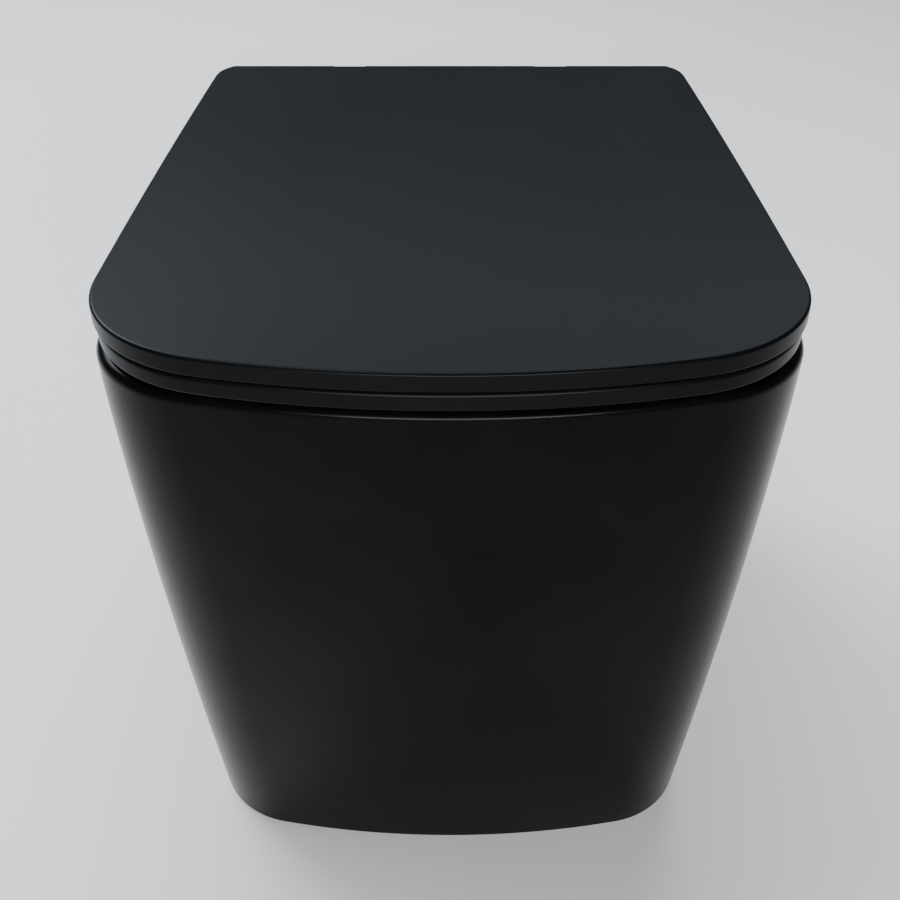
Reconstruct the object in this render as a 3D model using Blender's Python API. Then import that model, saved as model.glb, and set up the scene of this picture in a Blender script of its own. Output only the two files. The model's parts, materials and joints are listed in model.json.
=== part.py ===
"""Back-to-wall toilet: one-piece ceramic pan with a slim soft-close seat and wrap-over lid.

Frame: origin on the floor under the middle of the object, +X to the user's left-hand
wall side as seen from the front, +Y towards the wall, +Z up. Metres.
"""

import math

import bmesh
import bpy
from mathutils import Matrix, Vector

# ---------------------------------------------------------------- driving dimensions
DEPTH = 0.530                 # front edge of the lid to the wall
PAN_HEIGHT = 0.400            # floor to the seat deck
FRONT_Y = -DEPTH / 2
WALL_Y = DEPTH / 2

RIM_HALF = 0.1833             # half width of the pan at the rim
RIM_SETBACK = 0.007           # rim behind the lid's front edge
RIM_CORNER = 0.070
FOOT_HALF = 0.1679            # half width of the pan at the floor
FOOT_SETBACK = 0.0725
FOOT_CORNER = 0.0618
SIDE_POWER = 1.38             # above 1, the skirt's sides swell slightly outwards
FRONT_POWER = 1.27            # the same for its front
FRONT_BOW = 0.50              # radius of the gently bowed front
FOOT_BOW = 0.606              # flatter at the floor
SIDE_BOW = 12.0               # radius of the nearly straight sides
RIM_ROUND = 0.006
FOOT_ROUND = 0.003
WALL = 0.012                  # thickness of the fired ware
DECK_UNDERSIDE = 0.380
PAN_BACK_CORNER = 0.006

MOUTH_HALF = 0.142            # bowl opening
MOUTH_FRONT = FRONT_Y + 0.044
MOUTH_BACK = FRONT_Y + 0.372
MOUTH_ROUND = 0.005
SUMP_HALF = 0.045
SUMP_FRONT = FRONT_Y + 0.195
SUMP_BACK = FRONT_Y + 0.300
SUMP_Z = 0.043
SUMP_ROUND = 0.07             # share of the bowl's depth that closes the bottom

OUTLET_Z = 0.180              # standard horizontal outlet height
OUTLET_R = 0.0425
INLET_Z = 0.338
INLET_R = 0.025
INLET_SOCKET_R = 0.030
INLET_SOCKET_START = FRONT_Y + 0.448
INLET_END = FRONT_Y + 0.478
INLET_START = FRONT_Y + 0.350
INLET_WALL = 0.0065
TRAP_WALL = 0.010
PIPE_SEGMENTS = 24

LID_HALF = 0.1819
LID_LENGTH = 0.4685
LID_THICK = 0.010
LID_TOP = 0.426
LID_CORNER = 0.083
LID_BACK_CORNER = 0.032
LID_EDGE = 0.0016
SEAT_TOP = 0.415
SEAT_BOTTOM = 0.405
SEAT_INSET = 0.0015
SEAT_LENGTH = 0.4425
SEAT_BACK_CORNER = 0.028
SEAT_EDGE = 0.003
HOLE_HALF = 0.110
HOLE_FRONT = FRONT_Y + 0.078
HOLE_BACK = FRONT_Y + 0.350

AXIS_Y = FRONT_Y + 0.4565
AXIS_Z = 0.414
LID_ROLL_R = 0.012
ROLL_STEP = 0.0002            # the roll's underside is this much slimmer than the lid's nose
BARREL_R = 0.008
SHELL_INNER_R = 0.0085
POST_X = 0.0775               # half of the standard 155 mm seat-hole spacing
POST_HALF = 0.0115
SEAT_HOLE_R = 0.007
HINGE_GAP = 0.0005
KNUCKLE_END = 0.142
SHELL_END = -3                # where the lid wraps down to behind the barrel, degrees
SHELL_END_AT_POSTS = 86       # and at the posts, so that the open lid clears them
CARTRIDGE_BORE_R = 0.0053
CARTRIDGE_R = 0.0050
CARTRIDGE_LENGTH = 0.046
PIN_R = 0.0025
PIN_REACH = 0.012             # how far a pin stands into each neighbour
GAP = 0.0003
STUD_R = 0.0050

BRACKET_Y = FRONT_Y + 0.440
SIDE_HOLE_Z = 0.035
SIDE_HOLE_R = 0.006

SIDES = {"left": -1, "right": 1}


# ---------------------------------------------------------------- materials
def material(name, colour, roughness, metallic=0.0):
    """Principled material for one kind of piece."""
    mat = bpy.data.materials.get(name)
    if mat is None:
        mat = bpy.data.materials.new(name)
        mat.use_nodes = True
        shader = mat.node_tree.nodes["Principled BSDF"]
        shader.inputs["Base Color"].default_value = (*colour, 1.0)
        shader.inputs["Roughness"].default_value = roughness
        shader.inputs["Metallic"].default_value = metallic
        mat.diffuse_color = (*colour, 1.0)
    return mat


def ceramic():
    return material("matt_black_ware", (0.012, 0.011, 0.010), 0.42)


def duroplast():
    return material("black_duroplast", (0.022, 0.024, 0.026), 0.38)


def rubber():
    return material("grey_rubber", (0.05, 0.05, 0.052), 0.75)


def steel():
    return material("stainless_steel", (0.60, 0.60, 0.58), 0.30, 1.0)


def zinc():
    return material("black_zinc_casting", (0.02, 0.02, 0.021), 0.40, 0.6)


def brass():
    return material("brass", (0.62, 0.44, 0.16), 0.35, 1.0)


def nylon():
    return material("white_nylon", (0.75, 0.74, 0.70), 0.5)


def black_nylon():
    return material("black_nylon", (0.015, 0.015, 0.016), 0.5)


# ---------------------------------------------------------------- mesh helpers
def make_object(name, bm, mat=None, cutter=False):
    """Object from a bmesh, with outward faces; a cutter is a hidden wire guide."""
    bmesh.ops.recalc_face_normals(bm, faces=bm.faces)
    mesh = bpy.data.meshes.new(name)
    bm.to_mesh(mesh)
    bm.free()
    mesh.shade_smooth()
    mesh.set_sharp_from_angle(angle=math.radians(35))
    obj = bpy.data.objects.new(name, mesh)
    bpy.context.collection.objects.link(obj)
    if mat is not None:
        mesh.materials.append(mat)
    if cutter:
        obj.hide_render = True
        obj.display_type = "WIRE"
    return obj


def loft(name, rings, mat=None, cutter=False):
    """Closed solid through rings of equal point count, with flat ends."""
    bm = bmesh.new()
    loops = [[bm.verts.new(point) for point in ring] for ring in rings]
    for low, high in zip(loops, loops[1:]):
        for i in range(len(low)):
            j = (i + 1) % len(low)
            bm.faces.new((low[i], low[j], high[j], high[i]))
    bm.faces.new(loops[0])
    bm.faces.new(loops[-1])
    return make_object(name, bm, mat, cutter)


def turned(name, profile, mat=None, segments=20, cutter=False):
    """Solid of revolution about Z. The profile is (radius, z) pairs; two meeting ends close it.

    A profile that starts and ends at radius 0 is a solid piece; any other is a closed ring.
    """
    bm = bmesh.new()
    rows = []
    for radius, z in profile:
        if radius < 1e-9:
            rows.append([bm.verts.new((0, 0, z))])
        else:
            angles = [math.tau * k / segments for k in range(segments)]
            rows.append([bm.verts.new((radius * math.cos(a), radius * math.sin(a), z)) for a in angles])
    closed = len(rows[0]) > 1
    pairs = list(zip(rows, rows[1:] + rows[:1])) if closed else list(zip(rows, rows[1:]))
    for low, high in pairs:
        if len(low) == len(high) == 1:
            continue
        for k in range(segments):
            n = (k + 1) % segments
            corners = [low[k % len(low)], low[n % len(low)], high[n % len(high)], high[k % len(high)]]
            bm.faces.new(list(dict.fromkeys(corners)))
    return make_object(name, bm, mat, cutter)


def rod(name, radius, length, mat=None, segments=20, cutter=False):
    """Plain cylinder along Z, from 0 to length."""
    return turned(name, [(0, 0), (radius, 0), (radius, length), (0, length)], mat, segments, cutter)


def block(name, low, high, mat=None, cutter=False):
    """Box between two corners."""
    bm = bmesh.new()
    bmesh.ops.create_cube(bm, size=1.0)
    size = Vector(high) - Vector(low)
    centre = (Vector(high) + Vector(low)) / 2
    placing = Matrix.Translation(centre) @ Matrix.Diagonal((*size, 1))
    bmesh.ops.transform(bm, matrix=placing, verts=bm.verts)
    return make_object(name, bm, mat, cutter)


def slab_along_x(name, outline, x_low, x_high, mat=None, cutter=False):
    """Extrusion along X of a closed (y, z) outline."""
    rings = [[(x, y, z) for y, z in outline] for x in (x_low, x_high)]
    return loft(name, rings, mat, cutter)


def place(obj, location, turn=None):
    """Moves an object, with an optional (angle, axis) turn."""
    matrix = Matrix.Translation(location)
    if turn:
        matrix = matrix @ Matrix.Rotation(turn[0], 4, turn[1])
    obj.matrix_world = matrix
    return obj


def boolean(obj, other, operation="DIFFERENCE"):
    """Adds a live exact Boolean and keeps the other shape as a hidden wire guide."""
    modifier = obj.modifiers.new(f"{operation.lower()}_{other.name}"[:60], "BOOLEAN")
    modifier.operation = operation
    modifier.solver = "EXACT"
    modifier.object = other
    other.hide_render = True
    other.display_type = "WIRE"


def hang_on(empty, obj):
    """Parents a piece to an empty on a joint's axis, leaving it where it is."""
    obj.parent = empty
    obj.matrix_parent_inverse = empty.matrix_world.inverted()


def axis_empty(name, location):
    empty = bpy.data.objects.new(name, None)
    bpy.context.collection.objects.link(empty)
    empty.matrix_world = Matrix.Translation(location)
    return empty


# ---------------------------------------------------------------- outlines
def d_outline(half, front, back, corner, back_corner, bow=FRONT_BOW):
    """Bowed front, round front corners, sides that fall away on a long arc, square back.

    Runs anticlockwise seen from above, from the middle of the front.
    """
    bow_steps, corner_steps, side_steps = 6, 7, 4
    bow_y = front + bow
    corner_x = half - corner
    corner_y = bow_y - math.sqrt((bow - corner) ** 2 - corner_x ** 2)
    meet = math.atan2(corner_y - bow_y, corner_x)
    start = -math.pi / 2
    right = []
    for k in range(bow_steps):
        a = start + (meet - start) * k / bow_steps
        right.append((bow * math.cos(a), bow_y + bow * math.sin(a)))
    for k in range(corner_steps):
        a = meet * (1 - k / corner_steps)
        right.append((corner_x + corner * math.cos(a), corner_y + corner * math.sin(a)))
    side_end = back - back_corner
    for k in range(side_steps):
        y = corner_y + (side_end - corner_y) * k / side_steps
        right.append((half - (y - corner_y) ** 2 / (2 * SIDE_BOW), y))
    x_end = half - (side_end - corner_y) ** 2 / (2 * SIDE_BOW)
    for k in range(4):
        a = math.pi / 2 * k / 3
        right.append((x_end - back_corner * (1 - math.cos(a)), side_end + back_corner * math.sin(a)))
    left = [(-x, y) for x, y in reversed(right[1:])]
    return right + left


def oval(half, front, back, power, steps=40):
    """Superellipse between a front and a back point."""
    centre, reach = (front + back) / 2, (back - front) / 2
    points = []
    for k in range(steps):
        a = math.tau * k / steps
        c, s = math.cos(a), math.sin(a)
        x = half * math.copysign(abs(c) ** (2 / power), c)
        y = centre + reach * math.copysign(abs(s) ** (2 / power), s)
        points.append((x, y))
    return points


def at_height(points, z):
    return [(x, y, z) for x, y in points]


# ---------------------------------------------------------------- pan
def skirt_shape(z):
    """Half width, front, corner radius and front bow of the skirt at a height."""
    drop = max(0.0, 1 - z / PAN_HEIGHT)
    side, front = drop ** SIDE_POWER, drop ** FRONT_POWER
    return (RIM_HALF + (FOOT_HALF - RIM_HALF) * side,
            FRONT_Y + RIM_SETBACK + (FOOT_SETBACK - RIM_SETBACK) * front,
            RIM_CORNER + (FOOT_CORNER - RIM_CORNER) * side,
            FRONT_BOW + (FOOT_BOW - FRONT_BOW) * front)


def skirt_ring(z, inset=0.0, back=WALL_Y):
    """Outline of the skirt at a height, moved inwards by inset."""
    half, front, corner, bow = skirt_shape(z)
    outline = d_outline(half - inset, front + inset, back, corner - inset, PAN_BACK_CORNER, bow)
    return at_height(outline, z)


def skirt_half_width(y, z):
    """Half width of the skirt's outer face on its straight sides."""
    half, front, corner, bow = skirt_shape(z)
    corner_y = front + bow - math.sqrt((bow - corner) ** 2 - (half - corner) ** 2)
    return half - (y - corner_y) ** 2 / (2 * SIDE_BOW)


def pan_skin():
    """Outer body: eased foot, ruled skirt, rounded rim."""
    rings = []
    for k in range(3):
        a = math.pi / 2 * k / 2
        rings.append(skirt_ring(FOOT_ROUND * (1 - math.cos(a)), FOOT_ROUND * (1 - math.sin(a))))
    for k in range(1, 9):
        rings.append(skirt_ring(FOOT_ROUND + (PAN_HEIGHT - RIM_ROUND - FOOT_ROUND) * k / 9))
    for k in range(5):
        a = math.pi / 2 * k / 4
        inset = RIM_ROUND * (1 - math.cos(a))
        z = PAN_HEIGHT - RIM_ROUND * (1 - math.sin(a))
        rings.append(skirt_ring(z, inset, WALL_Y - inset / 4))
    return loft("pan", rings, ceramic())


def bowl_ring(share, grow=0.0):
    """Bowl section at a share of its depth, 0 at the mouth and 1 at the bottom of the sump."""
    z = PAN_HEIGHT + (SUMP_Z - grow - PAN_HEIGHT) * share
    open_share = 1 - share ** 2
    half = SUMP_HALF + (MOUTH_HALF - SUMP_HALF) * open_share ** 1.7
    front = SUMP_FRONT + (MOUTH_FRONT - SUMP_FRONT) * open_share ** 1.5
    back = SUMP_BACK + (MOUTH_BACK - SUMP_BACK) * open_share
    closing = max(0.0, (share - 1 + SUMP_ROUND) / SUMP_ROUND)
    shrink = math.sqrt(max(0.0, 1 - closing ** 2)) * 0.75 + 0.25
    middle, reach = (front + back) / 2, (back - front) / 2
    reach = (reach + grow) * shrink
    return at_height(oval((half + grow) * shrink, middle - reach, middle + reach, 2.4), z)


def bowl_inside():
    """Cutter for the bowl, with a rounded mouth."""
    rings = [at_height(oval(MOUTH_HALF + MOUTH_ROUND, MOUTH_FRONT - MOUTH_ROUND,
                            MOUTH_BACK + MOUTH_ROUND, 2.4), PAN_HEIGHT + 0.01)]
    for k in range(4):
        a = math.pi / 2 * k / 3
        flare = MOUTH_ROUND * (1 - math.sin(a))
        z = PAN_HEIGHT - MOUTH_ROUND * (1 - math.cos(a))
        rings.append(at_height(oval(MOUTH_HALF + flare, MOUTH_FRONT - flare, MOUTH_BACK + flare, 2.4), z))
    shares = [0.08, 0.18, 0.30, 0.42, 0.54, 0.66, 0.78, 0.88, 0.93, 0.965, 0.99, 1.0]
    rings += [bowl_ring(share) for share in shares]
    return loft("bowl_inside", rings, cutter=True)


def bowl_outside():
    shares = [0.03, 0.18, 0.34, 0.50, 0.66, 0.80, 0.93, 0.975, 1.0]
    return loft("bowl_outside", [bowl_ring(share, 0.011) for share in shares], cutter=True)


TRAP_ROUTE = [  # (behind the lid's front edge, height, inner radius) along the trapway
    (0.250, 0.078, 0.032), (0.296, 0.075, 0.033), (0.338, 0.097, 0.035), (0.366, 0.140, 0.037),
    (0.394, 0.180, 0.038), (0.428, 0.193, 0.039), (0.460, 0.186, 0.041), (0.490, OUTLET_Z, OUTLET_R),
]


def smooth_route(points, steps):
    """Catmull-Rom curve through points of any dimension."""
    points = [Vector(p) for p in points]
    padded = [2 * points[0] - points[1]] + points + [2 * points[-1] - points[-2]]
    route = []
    for i in range(1, len(padded) - 2):
        p0, p1, p2, p3 = padded[i - 1:i + 3]
        for k in range(steps):
            t = k / steps
            route.append(0.5 * (2 * p1 + (p2 - p0) * t + (2 * p0 - 5 * p1 + 4 * p2 - p3) * t * t
                                + (3 * p1 - p0 - 3 * p2 + p3) * t ** 3))
    return route + [points[-1]]


def trap_tube(name, grow, start, extra):
    """Swept pipe along the trapway; extra carries its end straight back beyond the spigot."""
    route = smooth_route(TRAP_ROUTE[start:], 2)
    rings = []
    last = len(route) - 1
    for i, point in enumerate(route):
        ahead, behind = route[min(i + 1, last)], route[max(i - 1, 0)]
        along = Vector((ahead[0] - behind[0], ahead[1] - behind[1])).normalized()
        if i == last:
            along = Vector((1, 0))
        up = Vector((-along[1], along[0]))
        rings.append(pipe_ring(point[0], point[1], point[2] + grow, up))
    if extra:
        end = route[-1]
        rings.append(pipe_ring(end[0] + extra, end[1], end[2] + grow, Vector((0, 1))))
    return loft(name, rings, cutter=True)


def pipe_ring(behind_front, z, radius, up):
    """Circle across a pipe; up is the direction of its top in (y, z)."""
    ring = []
    for k in range(PIPE_SEGMENTS):
        a = math.tau * k / PIPE_SEGMENTS
        rise = radius * math.sin(a)
        ring.append((radius * math.cos(a), FRONT_Y + behind_front + up[0] * rise, z + up[1] * rise))
    return ring


def pipe_along_y(name, radius, y_low, y_high):
    """Straight pipe at the flush inlet's height."""
    ends = [pipe_ring(y - FRONT_Y, INLET_Z, radius, Vector((0, 1))) for y in (y_low, y_high)]
    return loft(name, ends, cutter=True)


def build_pan():
    """Fired ware: skirt and deck, bowl, trapway, flush inlet and the fixing holes."""
    pan = pan_skin()
    levels = [-0.01, 0.05, 0.12, 0.20, 0.28, 0.34, DECK_UNDERSIDE]
    void = loft("void_under_deck", [skirt_ring(z, WALL, WALL_Y + 0.02) for z in levels], cutter=True)
    horn_r = INLET_SOCKET_R + INLET_WALL
    for shape in (bowl_outside(), trap_tube("trap_outside", TRAP_WALL, 1, 0.0),
                  pipe_along_y("inlet_outside", horn_r, INLET_START, INLET_END)):
        boolean(void, shape)
    boolean(pan, void)
    for shape in (bowl_inside(), trap_tube("trap_inside", 0.0, 0, 0.02),
                  pipe_along_y("inlet_bore", INLET_R, INLET_START, INLET_END + 0.01),
                  pipe_along_y("inlet_socket", INLET_SOCKET_R, INLET_SOCKET_START, INLET_END + 0.02)):
        boolean(pan, shape)
    for side, sign in SIDES.items():
        seat_hole = rod(f"seat_hole_{side}", SEAT_HOLE_R, 0.06, cutter=True)
        place(seat_hole, (sign * POST_X, AXIS_Y, DECK_UNDERSIDE - 0.02))
        boolean(pan, seat_hole)
        side_hole = rod(f"side_hole_{side}", SIDE_HOLE_R, 0.06, cutter=True)
        place(side_hole, (sign * 0.135, BRACKET_Y, SIDE_HOLE_Z), (sign * math.pi / 2, "Y"))
        boolean(pan, side_hole)
    return pan


def build_flush_fittings():
    """Lip seal for the flush pipe and the flow diffuser in the bowl's back wall."""
    seal_r = INLET_SOCKET_R - GAP
    mouth = INLET_END - INLET_SOCKET_START + GAP
    lips = [(0.0225, mouth + 0.003), (0.0240, 0.020), (0.0225, 0.010), (0.0240, 0.001)]
    body = [(seal_r, 0.001), (seal_r, mouth), (0.0340, mouth), (0.0340, mouth + 0.003)]
    seal = turned("flush_pipe_seal", body + lips, rubber(), 32)
    place(seal, (0, INLET_SOCKET_START, INLET_Z), (-math.pi / 2, "X"))
    tube_r = INLET_R - GAP
    diffuser = turned("flush_diffuser", [(tube_r, 0.0), (tube_r, 0.034), (0.0215, 0.034), (0.0215, 0.0)],
                      black_nylon(), 32)
    shield = turned("diffuser_shield", [(0, -0.016), (0.020, -0.015), (0.027, -0.0125), (0.027, -0.0105),
                                        (0.020, -0.0125), (0, -0.0135)], None, 32, cutter=True)
    ribs = [block(f"diffuser_rib_{n}", (-0.0010, low, -0.0138), (0.0010, high, 0.010), cutter=True)
            for n, (low, high) in enumerate(((0.0195, 0.0243), (-0.0243, -0.0195)))]
    for shape in (shield, *ribs):
        boolean(diffuser, shape, "UNION")
        place(shape, (0, MOUTH_BACK - 0.002, INLET_Z), (-math.pi / 2, "X"))
    place(diffuser, (0, MOUTH_BACK - 0.002, INLET_Z), (-math.pi / 2, "X"))


# ---------------------------------------------------------------- seat and lid
def slab_rings(half, front, back, corner, back_corner, bottom, top, lower_edge, upper_edge):
    """Rings of a flat D-shaped slab with its lower and upper edges rounded."""
    rings = []
    for k in range(3):
        a = math.pi / 2 * k / 2
        ease = lower_edge * (1 - math.sin(a))
        rings.append((bottom + lower_edge * (1 - math.cos(a)), ease))
    for k in range(3):
        a = math.pi / 2 * k / 2
        rings.append((top - upper_edge * (1 - math.sin(a)), upper_edge * (1 - math.cos(a))))
    return [at_height(d_outline(half - e, front + e, back - e, corner - e, back_corner - e / 2), z)
            for z, e in rings]


def hinge_points(radius, start_deg, end_deg, steps):
    """Arc about the hinge axis in the (y, z) plane; 0 points at the wall and 90 up."""
    points = []
    for k in range(steps + 1):
        a = math.radians(start_deg + (end_deg - start_deg) * k / steps)
        points.append((AXIS_Y + radius * math.cos(a), AXIS_Z + radius * math.sin(a)))
    return points


def polar(radius, degrees):
    return hinge_points(radius, degrees, degrees, 1)[0]


def hinge_space(name, end_deg, x_low, x_high):
    """Room under the lid's rear roll: the barrel, and everything below the shell's lower end."""
    front_y = AXIS_Y - 0.016
    underside = LID_TOP - LID_THICK + 0.0002
    start_deg = 180 - math.degrees(math.asin((underside - AXIS_Z) / SHELL_INNER_R))
    outline = [(front_y, underside)]
    outline += hinge_points(SHELL_INNER_R, start_deg, end_deg, 14)
    outline += [polar(0.015, end_deg), (AXIS_Y + 0.016, AXIS_Z - 0.016), (front_y, AXIS_Z - 0.016)]
    if end_deg > 30:
        outline.insert(-2, (AXIS_Y + 0.016, AXIS_Z + 0.0139))
    return slab_along_x(name, outline, x_low, x_high, cutter=True)


def build_lid(empty):
    """Slim lid whose back edge rolls over the hinge."""
    back = FRONT_Y + LID_LENGTH
    lid = loft("lid", slab_rings(LID_HALF, FRONT_Y, back, LID_CORNER, LID_BACK_CORNER,
                                 LID_TOP - LID_THICK, LID_TOP, 0.001, LID_EDGE), duroplast())
    nose = [(AXIS_Y, LID_TOP + 0.004)] + hinge_points(LID_ROLL_R, 90, 0, 8)
    nose += [(AXIS_Y + 0.02, AXIS_Z), (AXIS_Y + 0.02, LID_TOP + 0.004)]
    boolean(lid, slab_along_x("lid_nose_cut", nose, -0.2, 0.2, cutter=True))
    roll = slab_along_x("lid_roll", hinge_points(LID_ROLL_R - ROLL_STEP, 0, 345, 23),
                        -KNUCKLE_END, KNUCKLE_END, cutter=True)
    boolean(lid, roll, "UNION")
    inner, outer = POST_X - POST_HALF - HINGE_GAP, POST_X + POST_HALF + HINGE_GAP
    boolean(lid, hinge_space("space_for_barrel", SHELL_END, -inner, inner))
    for side, sign in SIDES.items():
        ends = sorted((sign * (inner - 0.0001), sign * outer))
        boolean(lid, hinge_space(f"space_for_post_{side}", SHELL_END_AT_POSTS, *ends))
        bore = rod(f"lid_bore_{side}", CARTRIDGE_BORE_R, CARTRIDGE_LENGTH + 0.004, cutter=True)
        place(bore, (sign * (outer - 0.002), AXIS_Y, AXIS_Z), (sign * math.pi / 2, "Y"))
        boolean(lid, bore)
    for n, (x, y) in enumerate(LID_BUFFER_PLACES):
        pocket = rod(f"lid_pocket_{n}", 0.0062, 0.004, cutter=True)
        boolean(lid, place(pocket, (x, y, LID_TOP - LID_THICK - 0.002)))
    hang_on(empty, lid)


LID_BUFFER_PLACES = [(x, FRONT_Y + y) for y in (0.115, 0.360) for x in (-0.142, 0.142)]
SEAT_BUFFER_PLACES = [(x, FRONT_Y + y) for y in (0.150, 0.330) for x in (-0.160, 0.160)]


def build_seat(empty):
    """Slim ring with a neck and barrel between the hinge posts."""
    slab = slab_rings(LID_HALF - SEAT_INSET, FRONT_Y + SEAT_INSET, FRONT_Y + SEAT_LENGTH,
                      LID_CORNER - SEAT_INSET, SEAT_BACK_CORNER, SEAT_BOTTOM, SEAT_TOP, 0.0015, SEAT_EDGE)
    seat = loft("seat", slab, duroplast())
    flare = 0.003
    hole = [(SEAT_BOTTOM - 0.002, 0.0), (SEAT_TOP - flare, 0.0), (SEAT_TOP - flare * 0.3, flare * 0.3),
            (SEAT_TOP, flare), (SEAT_TOP + 0.002, flare)]
    rings = [at_height(oval(HOLE_HALF + e, HOLE_FRONT - e, HOLE_BACK + e, 2.6), z) for z, e in hole]
    boolean(seat, loft("seat_hole", rings, cutter=True))
    half = POST_X - POST_HALF - HINGE_GAP
    neck = block("seat_neck", (-half + 0.001, FRONT_Y + SEAT_LENGTH - 0.012, AXIS_Z - BARREL_R + 0.0004),
                 (half - 0.001, AXIS_Y, SEAT_TOP - 0.0004), cutter=True)
    boolean(seat, neck, "UNION")
    barrel = slab_along_x("seat_barrel", hinge_points(BARREL_R, 5, 350, 23), -half, half, cutter=True)
    boolean(seat, barrel, "UNION")
    for side, sign in SIDES.items():
        bore = rod(f"seat_bore_{side}", CARTRIDGE_BORE_R, CARTRIDGE_LENGTH + 0.004, cutter=True)
        place(bore, (sign * (half + 0.002), AXIS_Y, AXIS_Z), (-sign * math.pi / 2, "Y"))
        boolean(seat, bore)
    for n, (x, y) in enumerate(SEAT_BUFFER_PLACES):
        rings = [buffer_outline(x, y, 0.0052, z) for z in (SEAT_BOTTOM - 0.002, SEAT_BOTTOM + 0.002)]
        boolean(seat, loft(f"seat_pocket_{n}", rings, cutter=True))
    hang_on(empty, seat)


def buffer_outline(x, y, radius, z, reach=0.010):
    """Stadium along Y for the long seat buffers."""
    points = []
    for centre, start in ((y + reach, 0.0), (y - reach, math.pi)):
        for k in range(9):
            a = start + math.pi * k / 8
            points.append((x + radius * math.cos(a), centre + radius * math.sin(a), z))
    return points


def build_buffers(seat_empty, lid_empty):
    """Rubber rests: long ones under the seat, round ones under the lid."""
    names = ("front_left", "front_right", "rear_left", "rear_right")
    for name, (x, y) in zip(names, SEAT_BUFFER_PLACES):
        levels = ((PAN_HEIGHT + GAP, 0.0042), (PAN_HEIGHT + 0.0012, 0.0049),
                  (SEAT_BOTTOM + 0.0017, 0.0049))
        rings = [buffer_outline(x, y, radius, z) for z, radius in levels]
        hang_on(seat_empty, loft(f"seat_buffer_{name}", rings, rubber()))
    for name, (x, y) in zip(names, LID_BUFFER_PLACES):
        top = LID_TOP - LID_THICK + 0.0017
        low = SEAT_TOP + GAP
        profile = [(0, low), (0.0053, low), (0.0059, low + 0.0004), (0.0059, top), (0, top)]
        buffer = turned(f"lid_buffer_{name}", profile, rubber(), 20)
        hang_on(lid_empty, place(buffer, (x, y, 0)))


# ---------------------------------------------------------------- hinges
def build_hinge_fixing(side, sign):
    """Top fixing in the deck: plate, stud, rubber plug and nut."""
    x = sign * POST_X
    plate_top = PAN_HEIGHT + GAP + 0.0012
    plate = turned(f"hinge_plate_{side}", [(0.0034, PAN_HEIGHT + GAP), (0.020, PAN_HEIGHT + GAP),
                                           (0.020, plate_top - 0.0003), (0.0195, plate_top),
                                           (0.0034, plate_top)], steel(), 36)
    low = plate_top + GAP
    stud = turned(f"hinge_stud_{side}", [(0, 0.352), (0.003, 0.352), (0.003, low), (STUD_R, low),
                                         (STUD_R, low + 0.0016), (0.0042, low + 0.0024),
                                         (0.0042, low + 0.0044), (STUD_R, low + 0.0052),
                                         (STUD_R, low + 0.0072), (0.0044, low + 0.0080),
                                         (0, low + 0.0080)], steel())
    plug = turned(f"hinge_plug_{side}", [(0.0033, 0.3665), (0.0064, 0.3665), (0.0067, 0.370),
                                         (0.0067, PAN_HEIGHT), (0.0033, PAN_HEIGHT)], rubber())
    nut_low, nut_top = 0.3545, 0.3660
    nut = turned(f"hinge_nut_{side}", [(0.0038, nut_low), (0.0064, nut_low),
                                       (0.0064, nut_top), (0.0038, nut_top)], brass(), 6)
    for piece in (plate, stud, plug, nut):
        place(piece, (x, AXIS_Y, 0))


def build_hinge_block(side, sign, mount_empty):
    """Lift-off block with the hinge pin, on the stud."""
    x = sign * POST_X
    foot = PAN_HEIGHT + GAP + 0.0012 + GAP
    outline = hinge_points(BARREL_R, -5, 185, 14)
    outline += [(AXIS_Y - 0.008, foot), (AXIS_Y + 0.008, foot)]
    hinge = slab_along_x(f"hinge_block_{side}", outline, x - POST_HALF, x + POST_HALF, zinc())
    stud_bore = rod(f"stud_bore_{side}", STUD_R + 0.0004, 0.0094, cutter=True)
    boolean(hinge, place(stud_bore, (x, AXIS_Y, foot - 0.001)))
    pin_bore = rod(f"pin_bore_{side}", PIN_R + 0.0004, 2 * POST_HALF + 0.004, cutter=True)
    boolean(hinge, place(pin_bore, (x - POST_HALF - 0.002, AXIS_Y, AXIS_Z), (math.pi / 2, "Y")))
    hang_on(mount_empty, hinge)
    reach = POST_HALF + PIN_REACH
    chamfer = 0.0004
    pin = turned(f"hinge_pin_{side}", [(0, -reach), (PIN_R - chamfer, -reach), (PIN_R, chamfer - reach),
                                       (PIN_R, reach - chamfer), (PIN_R - chamfer, reach), (0, reach)],
                 steel(), 20)
    hang_on(mount_empty, place(pin, (x, AXIS_Y, AXIS_Z), (math.pi / 2, "Y")))
    return hinge


def build_release_button(side, sign, hinge):
    """Push button in the back of the block, and the pocket it slides in."""
    x = sign * POST_X
    z_low, z_high = 0.4030, 0.4085
    y_in, y_out = AXIS_Y + STUD_R + 0.0016, AXIS_Y + 0.0098
    pocket = block(f"button_pocket_{side}", (x - 0.0055, AXIS_Y + STUD_R, z_low - GAP),
                   (x + 0.0055, AXIS_Y + 0.010, z_high + GAP), cutter=True)
    boolean(hinge, pocket)
    button = block(f"release_button_{side}", (x - 0.0052, y_in, z_low),
                   (x + 0.0052, y_out, z_high), steel())
    bevel = button.modifiers.new("eased_edges", "BEVEL")
    bevel.width = 0.0005
    bevel.segments = 2
    hang_on(axis_empty(f"release_{side}_axis", (x, y_out, (z_low + z_high) / 2)), button)


def cartridge(name, mat, start_x, direction, length, bore_r, collar):
    """Round insert along X with a blind hole for the hinge pin at its open end."""
    profile = [(0, PIN_REACH + 0.003), (bore_r, PIN_REACH + 0.003), (bore_r, 0.0), (collar, 0.0),
               (CARTRIDGE_R, 0.0012), (CARTRIDGE_R, length - 0.0012), (CARTRIDGE_R - 0.0012, length),
               (0, length)]
    piece = turned(name, profile, mat)
    return place(piece, (start_x, AXIS_Y, AXIS_Z), (direction * math.pi / 2, "Y"))


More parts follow.
